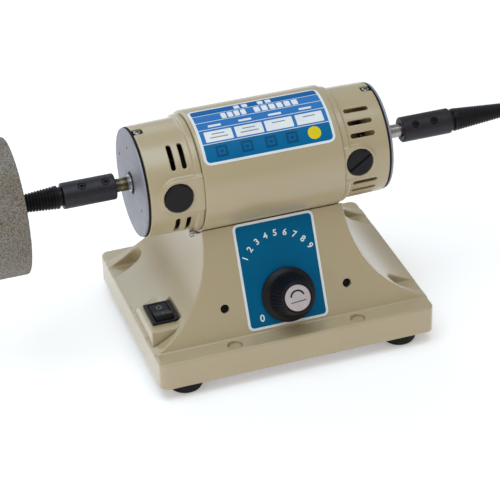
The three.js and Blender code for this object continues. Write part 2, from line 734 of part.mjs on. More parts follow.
function leftBell() {
  const bosses = BRUSH_SIDES.map((side) => bellBoss(LEFT_CAP_X, LEFT_MOUTH, LEFT_BOSS_RADIUS, side));
  const vents = BRUSH_SIDES.flatMap((side) => LEFT_VENT_OFFSETS.flatMap(
    (offset) => LEFT_VENT_X.map((x) => curvedVent(x, side + offset)),
  ));
  const holes = BRUSH_SIDES.map((side) => capHole(LEFT_CAP_X, LEFT_CAP_RADIUS, side));
  const notch = rimNotch(LEFT_BELL_END, 1);
  return cut(withBosses(plainBell(LEFT_BELL_END, LEFT_MOUTH), bosses),
    [...vents, ...holes, notch, screwHole(RIM_SCREW_X.left)]);
}

addPart(motor, 'left_end_bell', leftBell(), material(CREAM, 0.45, 0.1));

function rightBell() {
  const bosses = BRUSH_SIDES.map((side) => roundBoss(RIGHT_CAP_X, RIGHT_BOSS_RADIUS, side));
  const vents = BRUSH_SIDES.flatMap((side) => RIGHT_VENT_OFFSETS.map(
    (offset) => straightVent(side + offset),
  ));
  const holes = BRUSH_SIDES.map((side) => capHole(RIGHT_CAP_X, RIGHT_CAP_RADIUS, side));
  const notch = rimNotch(RIGHT_BELL_END, -1);
  return cut(withBosses(plainBell(RIGHT_BELL_END, RIGHT_MOUTH), bosses),
    [...vents, ...holes, notch, screwHole(RIM_SCREW_X.right)]);
}

addPart(motor, 'right_end_bell', rightBell(), material(CREAM, 0.45, 0.1));

const BEARING_FACE = 2.2; // depth of the bearing's seat behind the face of the plate

/** Steel end plate with a bearing seat and a lip that the rim screw bites into. */
function endPlate() {
  const [seat, seatWall] = [BEARING_RADIUS + GAP, BEARING_RADIUS + GAP + 3];
  const [lipOuter, lipInner, lipEnd, seatEnd] = [36.6, 34.6, 10, 12];
  return turnedX([
    [0, PLATE_HOLE], [0, PLATE_RADIUS - 0.5], [0.5, PLATE_RADIUS], [PLATE_THICKNESS, PLATE_RADIUS],
    [PLATE_THICKNESS, lipOuter], [lipEnd, lipOuter], [lipEnd, lipInner], [PLATE_THICKNESS, lipInner],
    [PLATE_THICKNESS, seatWall], [seatEnd, seatWall], [seatEnd, seat],
    [BEARING_FACE, seat], [BEARING_FACE, PLATE_HOLE],
  ], 28);
}

function gasket() {
  const inner = GASKET_RADIUS - 3.6;
  return turnedX([
    [0, inner], [0, GASKET_RADIUS], [GASKET_THICKNESS, GASKET_RADIUS], [GASKET_THICKNESS, inner],
  ], 28);
}

function bearing() {
  const bore = SHAFT_RADIUS + GAP;
  return turnedX([
    [0, bore], [0, BEARING_RADIUS], [BEARING_WIDTH, BEARING_RADIUS], [BEARING_WIDTH, bore],
  ], 20);
}

/** Pieces at one end of the motor, built outward-in from the face of the end plate. */
function motorEnd(side, face, inward) {
  const end = new THREE.Group();
  end.position.x = face;
  end.rotation.z = inward > 0 ? 0 : Math.PI;
  motor.add(end);
  addPart(end, `${side}_end_plate`, endPlate(), material(STEEL, 0.35, 0.9));
  addPart(end, `${side}_gasket`, gasket(), material(BLACK, 0.8, 0))
    .position.x = PLATE_THICKNESS + GAP;
  addPart(end, `${side}_bearing`, bearing(), material(STEEL, 0.25, 1)).position.x = BEARING_FACE + GAP;
}

motorEnd('left', PLATE_LEFT, 1);
motorEnd('right', PLATE_RIGHT, -1);

for (const [side, x] of Object.entries(RIM_SCREW_X)) {
  addPart(motor, `${side}_rim_screw`, panScrew(2.8, 2, RIM_SCREW_SHANK, 2.2), material(STEEL, 0.25, 1))
    .position.set(x, 0, NOTCH_FLOOR + GAP);
}

const BOLT_HEAD_RADIUS = 2.7;
const BOLT_HEAD_LENGTH = 3;
const BOLT_CIRCLE = 44.8;
const [FRONT, REAR] = [-1, 1];
const BOLT_ANGLE = THREE.MathUtils.degToRad(52); // down from the side it is on

/** Head of the bolt that holds a bell to the motor shell, low down under the ring. */
function bellBolt() {
  return turnedX([
    [0, 0], [0, BOLT_HEAD_RADIUS - 0.7], [0.8, BOLT_HEAD_RADIUS],
    [BOLT_HEAD_LENGTH, BOLT_HEAD_RADIUS], [BOLT_HEAD_LENGTH, 0],
  ], 12);
}

const BELL_BOLTS = [
  ["left", LEFT_MOUTH - RING_WIDTH - GAP - BOLT_HEAD_LENGTH, FRONT],
  ["right", RIGHT_MOUTH + RING_WIDTH + GAP, REAR],
];
for (const [side, x, facing] of BELL_BOLTS) {
  const bolt = addPart(motor, `${side}_bell_bolt`, bellBolt(), material(STEEL, 0.3, 1));
  bolt.position.set(x, facing * BOLT_CIRCLE * Math.cos(BOLT_ANGLE), -BOLT_CIRCLE * Math.sin(BOLT_ANGLE));
}

// ---------------------------------------------------------------- magnets and brushes

const CORE_LEFT = -32;
const CORE_RIGHT = 28;
const CORE_RADIUS = 34.8;
const MAGNET_HALF_ANGLE = 62;

function fieldMagnet(middleDegrees) {
  const [low, high] = [middleDegrees - MAGNET_HALF_ANGLE, middleDegrees + MAGNET_HALF_ANGLE];
  const shape = ringSector(CORE_RADIUS + 0.8, SHELL_BORE - GAP, low, high);
  return extrudedAlongX(shape, CORE_LEFT - 2, CORE_RIGHT + 2, 8);
}

addPart(motor, 'upper_magnet', fieldMagnet(BRUSH_TILT + 90), material(DARK_STEEL, 0.7, 0.3));
addPart(motor, 'lower_magnet', fieldMagnet(BRUSH_TILT - 90), material(DARK_STEEL, 0.7, 0.3));

const COMMUTATOR_RADIUS = 13;
const BRUSH_TIP = COMMUTATOR_RADIUS + GAP;
const BRUSH_TOP = 30;
const CAP_UNDERSIDE = 37.8;

function slottedCap() {
  const top = BOSS_FACE + 0.9;
  const body = turnedZ([
    [CAP_UNDERSIDE, 0], [CAP_UNDERSIDE, RIGHT_CAP_RADIUS], [top - 0.8, RIGHT_CAP_RADIUS],
    [top, RIGHT_CAP_RADIUS - 0.8], [top, 0],
  ]);
  return cut(body, [box([-RIGHT_CAP_RADIUS - 1, -1.1, top - 1.6], [RIGHT_CAP_RADIUS + 1, 1.1, top + 1])]);
}

function blankCap() {
  const top = BOSS_FACE + 1.6;
  return turnedZ([
    [CAP_UNDERSIDE, 0], [CAP_UNDERSIDE, LEFT_CAP_RADIUS], [top - 1.6, LEFT_CAP_RADIUS],
    [top - 0.5, LEFT_CAP_RADIUS - 0.9], [top, LEFT_CAP_RADIUS - 3], [top, 0],
  ]);
}

function brushHolder() {
  const tube = box([-6, -5, BRUSH_TIP + 3], [6, 5, CAP_UNDERSIDE - GAP]);
  return cut(tube, [box([-4.8, -3.6, 0], [4.8, 3.6, CAP_UNDERSIDE])]);
}

function carbonBrush() {
  return box([-4.4, -3.2, BRUSH_TIP], [4.4, 3.2, BRUSH_TOP]);
}

/** Helix about +Z. */
class Helix extends THREE.Curve {
  constructor(radius, bottom, height, turns) {
    super();
    Object.assign(this, { radius, bottom, height, turns });
  }

  getPoint(t, target = new THREE.Vector3()) {
    const angle = t * this.turns * FULL_TURN;
    const [x, y] = [this.radius * Math.cos(angle), this.radius * Math.sin(angle)];
    return target.set(x, y, this.bottom + t * this.height);
  }
}

function brushSpring() {
  const path = new Helix(2.4, BRUSH_TOP + 0.8, CAP_UNDERSIDE - BRUSH_TOP - 1.6, 4);
  const wire = new THREE.Shape();
  wire.absarc(0, 0, 0.35, 0, FULL_TURN);
  return new THREE.ExtrudeGeometry(wire, { steps: 32, extrudePath: path, curveSegments: 2 });
}

for (const [place, station] of [['front', frontBrushes], ['rear', rearBrushes]]) {
  addPart(station, `${place}_brush_cap`, slottedCap(), material(BLACK, 0.4, 0)).position.x = RIGHT_CAP_X;
  addPart(station, `${place}_blank_cap`, blankCap(), material(BLACK, 0.4, 0)).position.x = LEFT_CAP_X;
  addPart(station, `${place}_brush_holder`, brushHolder(), material(BRASS, 0.4, 0.9))
    .position.x = RIGHT_CAP_X;
  addPart(station, `${place}_brush`, carbonBrush(), material(BLACK, 0.9, 0)).position.x = RIGHT_CAP_X;
  addPart(station, `${place}_brush_spring`, brushSpring(), material(STEEL, 0.3, 1))
    .position.x = RIGHT_CAP_X;
}

// ---------------------------------------------------------------- turning assembly

const SHAFT_END = (SLEEVE_INNER + SLEEVE_OUTER) / 2 - 1;
const SHOULDER_DEPTH = BEARING_FACE + BEARING_WIDTH + 2 * GAP;
const SHOULDER_LEFT = PLATE_LEFT + SHOULDER_DEPTH;
const SHOULDER_RIGHT = PLATE_RIGHT - SHOULDER_DEPTH;
const ROTOR_BORE = SHAFT_MIDDLE_RADIUS + GAP;

/** Shaft with a retaining ring in front of each bearing. */
function mainShaft() {
  const ring = (x) => turnedX([[x, 3], [x, 6.4], [x + 1.2, 6.4], [x + 1.2, 3]]);
  const shaft = turnedX([
    [-SHAFT_END, 0], [-SHAFT_END, SHAFT_RADIUS], [SHOULDER_LEFT, SHAFT_RADIUS],
    [SHOULDER_LEFT, SHAFT_MIDDLE_RADIUS], [SHOULDER_RIGHT, SHAFT_MIDDLE_RADIUS],
    [SHOULDER_RIGHT, SHAFT_RADIUS], [SHAFT_END, SHAFT_RADIUS], [SHAFT_END, 0],
  ]);
  return joined([shaft, ring(PLATE_LEFT - 1.4), ring(PLATE_RIGHT + 0.2)]);
}

addPart(motor, 'main_shaft', mainShaft(), material(STEEL, 0.25, 1));

/** Laminated core with twelve winding slots. */
function armatureCore() {
  const [teeth, outer, floor] = [12, CORE_RADIUS, 22];
  const pitch = FULL_TURN / teeth;
  const points = [];
  for (let i = 0; i < teeth; i += 1) {
    const middle = i * pitch;
    for (const [radius, offset] of [
      [floor, -0.42], [outer - 3, -0.3], [outer - 1.5, -0.44], [outer, -0.42],
      [outer, 0], [outer, 0.42], [outer - 1.5, 0.44], [outer - 3, 0.3], [floor, 0.42],
    ]) {
      const angle = middle + offset * pitch;
      points.push([radius * Math.cos(angle), radius * Math.sin(angle)]);
    }
  }
  const hole = bar(ROTOR_BORE, CORE_LEFT - 1, CORE_RIGHT + 1, 16);
  return cut(extrudedAlongX(polygon(points), CORE_LEFT, CORE_RIGHT), [hole]);
}

addPart(motor, 'armature_core', armatureCore(), material(STEEL, 0.5, 0.8));

const WINDING_LENGTH = 12;

/** End turns of the armature winding. */
function endTurns(left) {
  const right = left + WINDING_LENGTH;
  const [bore, faceRadius, radius, round] = [ROTOR_BORE + 2, 24, 30, 4];
  return turnedX([
    [left, bore], [left, faceRadius], [left + round, radius], [right - round, radius],
    [right, faceRadius], [right, bore],
  ]);
}

addPart(motor, 'left_winding', endTurns(CORE_LEFT - GAP - WINDING_LENGTH), material(COPPER, 0.4, 0.7));
addPart(motor, 'right_winding', endTurns(CORE_RIGHT + GAP), material(COPPER, 0.4, 0.7));

/** Copper drum under the brushes, with a collar for the winding ends. */
function commutator() {
  const [left, collarEnd, right] = [RIGHT_CAP_X - 14.4, RIGHT_CAP_X - 11.4, RIGHT_CAP_X + 10.6];
  const collar = COMMUTATOR_RADIUS + 2;
  return turnedX([
    [left, ROTOR_BORE], [left, collar], [collarEnd, collar], [collarEnd, COMMUTATOR_RADIUS],
    [right, COMMUTATOR_RADIUS], [right, ROTOR_BORE],
  ]);
}

addPart(motor, 'commutator', commutator(), material(COPPER, 0.3, 0.9));

/** Radial fan that draws air through the bells. */
function coolingFan() {
  const [back, length, hubRadius, radius, blades] = [-64, 12, 11, 33, 9];
  const [left, bladeLeft, discLeft] = [back - length, back - length + 2, back - 2];
  const hub = turnedX([[left, ROTOR_BORE], [left, hubRadius], [back, hubRadius], [back, ROTOR_BORE]], 16);
  const discBore = hubRadius - 1;
  const disc = turnedX([[discLeft, discBore], [discLeft, radius], [back, radius], [back, discBore]]);
  const pieces = [hub, disc];
  for (let i = 0; i < blades; i += 1) {
    const blade = box([bladeLeft, -0.8, hubRadius - 1], [back - 1, 0.8, radius - 0.5]);
    pieces.push(blade.rotateX((i * FULL_TURN) / blades));
  }
  return joined(pieces);
}

addPart(motor, 'cooling_fan', coolingFan(), material(BLACK, 0.6, 0));

const SLEEVE_BORE = SHAFT_RADIUS + GAP;
const SET_SCREW_RADIUS = 2.5;

function sleeve(left, right, screws, degreesUp) {
  const tube = turnedX([
    [left, SLEEVE_BORE], [left, SLEEVE_RADIUS - 0.9], [left + 0.9, SLEEVE_RADIUS],
    [right - 0.9, SLEEVE_RADIUS], [right, SLEEVE_RADIUS - 0.9], [right, SLEEVE_BORE],
  ]);
  const holes = screws.map(
    (x) => pointedOut(post(SET_SCREW_RADIUS + GAP, 0, SLEEVE_RADIUS + 1, 12).translate(x, 0, 0), degreesUp),
  );
  return cut(tube, holes);
}

/** Headless screw with a hexagon socket, in a sleeve that it locks to the shaft. */
function setScrew() {
  const body = post(SET_SCREW_RADIUS, SHAFT_RADIUS + GAP, SLEEVE_RADIUS - 0.6, 12);
  return cut(body, [post(1.4, SLEEVE_RADIUS - 2, SLEEVE_RADIUS, 6)]);
}

/** Sleeve with its left end at a place along the shaft, and its two set screws. */
function fitSleeve(side, left) {
  const [screws, degreesUp] = [SET_SCREW_X[side], SET_SCREW_ANGLE[side]];
  const tube = sleeve(left, left + SLEEVE_OUTER - SLEEVE_INNER, screws, degreesUp);
  addPart(motor, `${side}_sleeve`, tube, material(DARK_STEEL, 0.4, 0.8));
  screws.forEach((x, i) => {
    const place = i === 0 ? 'inner' : 'outer';
    const screw = addPart(motor, `${side}_${place}_set_screw`, setScrew(), material(BLACK, 0.4, 0.9));
    screw.position.x = x;
    screw.rotation.x = outwardTurn(degreesUp);
  });
}

fitSleeve('left', -SLEEVE_OUTER);
fitSleeve('right', SLEEVE_INNER);

/** Tapered spindle: shank in the sleeve, a neck, then the screw taper to the tip. */
function spindle() {
  const [shankEnd, neckStart] = [SLEEVE_OUTER - SHANK_LENGTH, SLEEVE_OUTER + GAP];
  return turnedX([
    [shankEnd, 0], [shankEnd, SHAFT_RADIUS], [neckStart, SHAFT_RADIUS],
    [neckStart, SPINDLE_NECK], [SPINDLE_ROOT, SPINDLE_NECK], [SPINDLE_ROOT, SPINDLE_ROOT_RADIUS - 0.6],
    [SPINDLE_ROOT + 1, SPINDLE_ROOT_RADIUS], [SPINDLE_TIP - 1, SPINDLE_TIP_RADIUS],
    [SPINDLE_TIP, SPINDLE_TIP_RADIUS - 0.7], [SPINDLE_TIP, 0],
  ], 20);
}

addPart(motor, 'right_spindle', spindle(), material(BLACK, 0.35, 0.8));
addPart(motor, 'left_spindle', spindle(), material(BLACK, 0.35, 0.8)).rotation.z = Math.PI;

/** Radius of the screw taper at a distance from the middle of the machine. */
function taperRadius(distance) {
  const share = (distance - SPINDLE_ROOT - 1) / (SPINDLE_TIP - SPINDLE_ROOT - 2);
  return THREE.MathUtils.lerp(SPINDLE_ROOT_RADIUS, SPINDLE_TIP_RADIUS, share);
}

/** Abrasive wheel with a bore that sits on the taper. */
function abrasiveWheel() {
  const outerFace = WHEEL_FACE - WHEEL_WIDTH;
  const rim = 1.2;
  return turnedX([
    [outerFace, taperRadius(-outerFace) + GAP], [outerFace, WHEEL_RADIUS - rim],
    [outerFace + rim, WHEEL_RADIUS], [WHEEL_FACE - rim, WHEEL_RADIUS],
    [WHEEL_FACE, WHEEL_RADIUS - rim], [WHEEL_FACE, taperRadius(-WHEEL_FACE) + GAP],
  ], 40);
}

addPart(motor, 'abrasive_wheel', abrasiveWheel(), material(WHEEL_GREY, 0.95, 0));

export default machine;
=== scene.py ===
"""Looks of a small double-ended bench grinder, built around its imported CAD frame.

Lengths are in millimetres until a mesh is made, then in metres.  +X runs along the motor
shaft to the right, +Y to the back and +Z up.
"""

import math

import bmesh
import bpy
import numpy as np
from mathutils import Matrix, Vector, noise


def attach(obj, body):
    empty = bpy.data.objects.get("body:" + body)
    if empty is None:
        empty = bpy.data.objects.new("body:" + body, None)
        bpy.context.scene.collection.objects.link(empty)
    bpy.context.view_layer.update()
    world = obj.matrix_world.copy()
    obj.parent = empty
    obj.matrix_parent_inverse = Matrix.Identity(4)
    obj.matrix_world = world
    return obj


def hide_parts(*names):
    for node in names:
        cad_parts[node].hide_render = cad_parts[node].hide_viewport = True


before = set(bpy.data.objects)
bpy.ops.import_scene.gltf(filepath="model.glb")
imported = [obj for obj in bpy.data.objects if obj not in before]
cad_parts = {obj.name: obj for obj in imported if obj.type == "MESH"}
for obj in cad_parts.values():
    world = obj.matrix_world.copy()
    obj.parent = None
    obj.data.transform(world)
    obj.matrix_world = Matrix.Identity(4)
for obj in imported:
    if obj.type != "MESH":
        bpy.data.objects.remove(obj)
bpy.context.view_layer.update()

MM = 0.001
TO_METRES = Matrix.Scale(MM, 4)

# -------- dimensions

GAP = 0.3

# base casting
BASE_WIDTH, BASE_DEPTH, BASE_CORNER = 214.0, 165.0, 6.0
BASE_BOTTOM, SKIRT_TOP, WALL = 10.2, 32.4, 4.0
FOOT_X, FOOT_Y = 84.5, 66.0
FACE_TILT = math.radians(25)
FACE_FOOT = 67.9
PEDESTAL_TOP = 112.0
SWEEP_CENTRE, SWEEP_TOP, SWEEP_BEND, SWEEP_FOOT = -2.4, 54.5, 70.1, 106.4
SWEEP_UPPER_Z, SWEEP_LOWER_Z = 75.1, 47.9
POCKET_Y, POCKET_RADIUS, POCKET_CENTRE_X, POCKET_FLOOR = 50.5, 7.5, 89.5, 32.0
LAND_LEFT, LAND_FRONT, LAND_TOP = -105.0, -57.0, 45.2
LAND_SEAT_RIGHT, LAND_SEAT_FRONT, LAND_SEAT_BACK, LAND_BLEND, LAND_CUT = -81.2, -49.5, -22.1, 16.0, 0.9
LAND_REGION_RIGHT, LAND_REGION_BACK = -62.0, -2.0
RECESS_X, RECESS_Y, RECESS_RADIUS, RECESS_FLOOR = 48.0, 75.3, 5.2, 30.4
BUSHING_X, BUSHING_Z, BUSHING_HOLE = 62.0, 21.0, 5.3

# sloping front face, measured up the slope from its foot
PANEL_X, PANEL_WIDTH, PANEL_FOOT, PANEL_LENGTH = -3.0, 62.5, 2.4, 80.0
KNOB_X, KNOB_UP, KNOB_HOLE = -0.6, 24.4, 4.7
CASE_SCREW_X, CASE_SCREW_UP, CASE_SCREW_HOLE = (-49.3, 46.1), 23.1, 3.2
FACE = Matrix.Translation((0, -FACE_FOOT, SKIRT_TOP)) @ Matrix.Rotation(math.pi / 2 - FACE_TILT, 4, "X")

# rocker switch
SWITCH_X, SWITCH_Y = -91.8, -35.8
SWITCH = Matrix.Translation((SWITCH_X, SWITCH_Y, 45.5))
SWITCH_HALF, SWITCH_HOLE_HALF = (10.3, 13.3), (9.2, 11.7)
ROCKER_HALF_WIDTH, ROCKER_RADIUS, ROCKER_RIDGE, ROCKER_PIVOT = 6.7, 10.7, 2.4, -0.4
ROCKER_TILT = math.radians(-9)

# motor, measured from the middle of its shaft
AXIS_Z = 139.4
MOTOR = Matrix.Translation((0, 0, AXIS_Z))
ALONG_X = Matrix.Rotation(math.pi / 2, 4, "Y")
SHELL_LEFT, SHELL_RIGHT, SHELL_RADIUS = -56.0, 50.5, 45.4
PLATE_LEFT, PLATE_RIGHT = -98.8, 90.1
PUNCH_MARKS = ((162.5, 30.1), (102.5, 26.7), (-19.9, 27.4))
RING_RADIUS, RING_WIDTH = 43.4, 5.0
BELL_RADIUS, BELL_END_RADIUS, BELL_BORE = 41.6, 41.0, 39.2
BELL_LEFT_END, BELL_RIGHT_END = -95.6, 86.9
BELL_LEFT_MOUTH, BELL_RIGHT_MOUTH = -56.3, 50.8
BRUSH_TILT = 7.5
LEFT_CAP_X, RIGHT_CAP_X = -75.3, 62.4
LEFT_CAP_RADIUS, RIGHT_CAP_RADIUS = 10.5, 10.0
BOSS_FACE, LEFT_BOSS_RADIUS, RIGHT_BOSS_RADIUS = 43.2, 13.4, 12.4
VENT_HALF, LEFT_VENT_X, LEFT_VENT_OFFSETS, LEFT_VENT_HALF_ANGLE = 1.7, (-75.3, -67.2), (-41, 41), 13.8
RIGHT_VENT_ENDS, RIGHT_VENT_OFFSETS = (58.6, 77.5), (-53.5, -40, -26.8, 26.8, 40.2, 54.3)
BOLT_X, BOLT_FALL, BOLT_SEAT = (-64.6, 59.1), math.radians(52), 44.8
SHAFT_RADIUS = 5.0
SLEEVE_RADIUS, SLEEVE_INNER, SLEEVE_OUTER = 9.6, 111.5, 150.8
SPINDLE_ROOT, SPINDLE_TIP, SPINDLE_ROOT_RADIUS, SPINDLE_TIP_RADIUS = 153.5, 245.0, 8.7, 1.5
THREAD_PITCH, THREAD_DEPTH = 2.2, 0.75
WHEEL_INNER, WHEEL_OUTER, WHEEL_RADIUS = -185.0, -209.5, 50.0

# -------- materials


def linear(code):
    """Linear colour from a six-digit hexadecimal code."""
    parts = [int(code[i:i + 2], 16) / 255 for i in (0, 2, 4)]
    return [c / 12.92 if c < 0.04045 else ((c + 0.055) / 1.055) ** 2.4 for c in parts] + [1.0]


def put(node, **values):
    """Sets a node's sockets by name, with _ for each space."""
    for name, value in values.items():
        node.inputs[name.replace("_", " ")].default_value = value


def clouds(made, source, scale, detail):
    """Value socket of a noise node that is fed by a vector socket."""
    node = made.node_tree.nodes.new("ShaderNodeTexNoise")
    put(node, Scale=scale, Detail=detail)
    made.node_tree.links.new(source, node.inputs["Vector"])
    return node.outputs["Fac"]


def shaded(made, source, *stops):
    """Colour socket of a ramp with (place, code) stops, both ends first."""
    node = made.node_tree.nodes.new("ShaderNodeValToRGB")
    made.node_tree.links.new(source, node.inputs["Fac"])
    elements = node.color_ramp.elements
    for k, (place, code) in enumerate(stops):
        stop = elements[k] if k < 2 else elements.new(place)
        stop.position = place
        stop.color = linear(code)
    return node.outputs["Color"]


def finish_of(name, colour, roughness, metallic=0.0, *, second, scale, stretch=(1, 1, 1), rough_span=0.06,
              bump=0.0, bump_scale=400.0, contrast=(0.3, 0.7), coat=0.0, detail=4.0, specular=0.5):
    """Material whose colour, roughness and surface all vary with noise in the piece's own space."""
    made = bpy.data.materials.new(name)
    made.use_nodes = True
    nodes, links = made.node_tree.nodes, made.node_tree.links
    shader = nodes["Principled BSDF"]
    put(shader, Metallic=metallic, Specular_IOR_Level=specular, Coat_Weight=coat, Coat_Roughness=0.25)
    spread = nodes.new("ShaderNodeMapping")
    put(spread, Scale=stretch)
    links.new(nodes.new("ShaderNodeTexCoord").outputs["Object"], spread.inputs["Vector"])
    cloud = clouds(made, spread.outputs["Vector"], scale, detail)
    colours = shaded(made, cloud, (contrast[0], colour), (contrast[1], second))
    links.new(colours, shader.inputs["Base Color"])
    gloss = nodes.new("ShaderNodeMapRange")
    put(gloss, To_Min=roughness - rough_span, To_Max=roughness + rough_span)
    links.new(cloud, gloss.inputs["Value"])
    links.new(gloss.outputs["Result"], shader.inputs["Roughness"])
    if bump:
        relief = nodes.new("ShaderNodeBump")
        put(relief, Strength=bump, Distance=0.0002)
        links.new(clouds(made, spread.outputs["Vector"], bump_scale, 3.0), relief.inputs["Height"])
        links.new(relief.outputs["Normal"], shader.inputs["Normal"])
    return made


def multiply_colour(made, colour):
    """Multiplies the colour of a material by that of a second socket."""
    nodes, links = made.node_tree.nodes, made.node_tree.links
    tint = nodes.new("ShaderNodeMix")
    tint.data_type = "RGBA"
    tint.blend_type = "MULTIPLY"
    put(tint, Factor=1.0)
    links.new(nodes["Color Ramp"].outputs["Color"], tint.inputs["A"])
    links.new(colour, tint.inputs["B"])
    links.new(tint.outputs["Result"], nodes["Principled BSDF"].inputs["Base Color"])


def abrasive_finish():
    """Non-woven abrasive: fine fibres with grey and brown grains between them."""
    made = finish_of("abrasive_web", "6C6863", 0.92, second="A5A29E", scale=900, contrast=(0.36, 0.64),
                     rough_span=0.03, bump=0.8, bump_scale=1400, detail=8, specular=0.2)
    nodes = made.node_tree.nodes
    patches = clouds(made, nodes["Texture Coordinate"].outputs["Object"], 38.0, 6.0)
    multiply_colour(made, shaded(made, patches, (0.35, "E4D8C8"), (0.65, "F6F5F3")))
    put(nodes["Bump"], Distance=0.0006)
    return made


def banded_finish(plain, low, high):
    """Copy of a metal whose colour turns a darker olive-brown in a band between two places along X."""
    made = plain.copy()
    made.name = plain.name + "_olive_band"
    nodes, links = made.node_tree.nodes, made.node_tree.links
    split = nodes.new("ShaderNodeSeparateXYZ")
    links.new(nodes["Texture Coordinate"].outputs["Object"], split.inputs["Vector"])
    along = nodes.new("ShaderNodeMapRange")
    put(along, From_Min=low, From_Max=high)
    links.new(split.outputs["X"], along.inputs["Value"])
    multiply_colour(made, shaded(made, along.outputs["Result"], (0.0, "FFFFFF"), (1.0, "FFFFFF"),
                                 (0.05, "8F8670"), (0.4, "B5A988"), (0.72, "7D745C"), (0.8, "FFFFFF")))
    return made


PAINT = finish_of("cream_paint", "B2A07E", 0.34, second="B5A582", scale=18, bump=0.1, bump_scale=700,
                  coat=0.9)
STEEL = finish_of("turned_steel", "B4B2B0", 0.24, 1.0, second="8F8D8B", scale=90, stretch=(14, 1, 1),
                  rough_span=0.08, bump=0.25, bump_scale=120)
PLATE = finish_of("plate_steel", "9D9CA6", 0.5, 0.35, second="96959F", scale=70, stretch=(1, 1, 3),
                  bump=0.08, bump_scale=300)
DARK_STEEL = finish_of("dark_steel", "322E33", 0.45, 0.5, second="28242A", scale=110, stretch=(9, 1, 1),
                       bump=0.3, bump_scale=140)
BLACK_STEEL = finish_of("black_oxide", "18171A", 0.42, 0.3, second="0F0E10", scale=160, bump=0.2,
                        specular=0.3)
PLASTIC = finish_of("black_plastic", "121013", 0.4, second="191619", scale=120, bump=0.15, bump_scale=1500,
                    specular=0.22)
RUBBER = finish_of("black_rubber", "100F0F", 0.7, second="191716", scale=150, bump=0.3, bump_scale=900,
                   specular=0.25)
TEAL = finish_of("teal_print", "006088", 0.36, second="005A80", scale=40, bump=0.04, specular=0.08)
WHITE_PRINT = finish_of("white_print", "E9ECEC", 0.4, second="DDE2E4", scale=60, bump=0.04)
BLUE_PRINT = finish_of("blue_print", "3579BC", 0.36, second="2F72B4", scale=45, bump=0.03, specular=0.12)
DEEP_PRINT = finish_of("deep_blue_print", "0060A4", 0.36, second="005A9A", scale=45, bump=0.03, specular=0.12)
LOW_PRINT = finish_of("sea_blue_print", "006A9E", 0.36, second="006392", scale=45, bump=0.03, specular=0.1)
DARK_PRINT = finish_of("dark_blue_print", "045280", 0.36, second="034A74", scale=45, bump=0.03, specular=0.1)
GREY_PRINT = finish_of("grey_print", "8C8F96", 0.4, second="7E828A", scale=60, bump=0.03)
YELLOW_PRINT = finish_of("yellow_print", "E7D21A", 0.4, second="DCC60F", scale=60, bump=0.03, specular=0.2)
CAP_GREY = finish_of("cap_disc", "C2B8B8", 0.4, 0.1, second="B8AEAE", scale=200, bump=0.05, specular=0.3)
INK = finish_of("black_print", "1A191C", 0.45, second="141316", scale=200, bump=0.03, specular=0.2)
FAINT_INK = finish_of("faint_print", "7E8088", 0.5, second="70727A", scale=200, bump=0.03)
AMBER = finish_of("amber_board", "FBE6AC", 0.4, second="EFD48C", scale=150, bump=0.1)
COPPER = finish_of("copper", "86603F", 0.45, 0.8, second="6A4A30", scale=300, stretch=(1, 5, 5), bump=0.5)
VARNISH = finish_of("varnished_winding", "3A2216", 0.3, 0.3, second="24150E", scale=300, stretch=(1, 5, 5),
                    bump=0.5)
BRASS = finish_of("brass", "BFA15A", 0.35, 0.9, second="A88A46", scale=200, bump=0.15)
BOARD = finish_of("circuit_board", "2F5D3A", 0.5, second="274E31", scale=260, bump=0.2)
ALUMINIUM = finish_of("aluminium", "B6B7BA", 0.4, 0.9, second="A2A3A7", scale=120, stretch=(6, 1, 1),
                      bump=0.2)
CORE = finish_of("laminated_core", "7D7B79", 0.45, 0.8, second="55524F", scale=700, stretch=(6, 0.1, 0.1),
                 bump=0.5)
CARBON = finish_of("carbon", "2A2A2B", 0.6, 0.2, second="363637", scale=500, bump=0.3)
WEB = abrasive_finish()
# X span, in metres, where the shaft's colour darkens to olive-brown
OLIVE_BAND_SPAN = (-0.1112, -0.0990)
SHAFT_STEEL = banded_finish(STEEL, *OLIVE_BAND_SPAN)

# -------- mesh making


def plain_mesh(name, corners, faces, matrix=None, sharp=35):
    """Smooth mesh from lists in millimetres, with its hard edges kept and faces turned out."""
    mesh = bpy.data.meshes.new(name)
    mesh.from_pydata([tuple(c) for c in corners], [], faces)
    work = bmesh.new()
    work.from_mesh(mesh)
    bmesh.ops.remove_doubles(work, verts=work.verts, dist=1e-4)
    bmesh.ops.recalc_face_normals(work, faces=work.faces)
    work.to_mesh(mesh)
    work.free()
    mesh.transform(TO_METRES @ (matrix or Matrix.Identity(4)))
    mesh.polygons.foreach_set("use_smooth", [True] * len(mesh.polygons))
    mesh.set_sharp_from_angle(angle=math.radians(sharp))
    return mesh


def rounded(points):
    """Profile with an arc at each (along, radius, fillet) corner."""
    steps = 4
    path = []
    last = len(points) - 1
    for i, point in enumerate(points):
        here = Vector(point[:2])
        fillet = point[2] if len(point) > 2 else 0
        if not fillet or i in (0, last):
            path.append(here)
            continue
        before, after = Vector(points[i - 1][:2]) - here, Vector(points[i + 1][:2]) - here
        bend = before.angle(after)
        reach = min(fillet / math.tan(bend / 2), before.length * 0.49, after.length * 0.49)
        start, end = here + before.normalized() * reach, here + after.normalized() * reach
        for k in range(steps + 1):
            t = k / steps
            path.append((1 - t) ** 2 * start + 2 * t * (1 - t) * here + t * t * end)
    return path


def turned(name, profile, matrix, segments, ripple=None):
    """Surface of revolution about +Z; ripple(along, angle, radius) gives the real radius."""
    path = rounded(profile)
    rings = []
    for point in path:
        for k in range(segments):
            angle = 2 * math.pi * k / segments
            radius = ripple(point.x, angle, point.y) if ripple else point.y
            rings.append((radius * math.cos(angle), radius * math.sin(angle), point.x))
    faces = []
    for i in range(len(path)):
        j = (i + 1) % len(path)
        for k in range(segments):
            n = (k + 1) % segments
            faces.append((i * segments + k, i * segments + n, j * segments + n, j * segments + k))
    return plain_mesh(name, rings, faces, matrix)


# -------- solids as distance fields


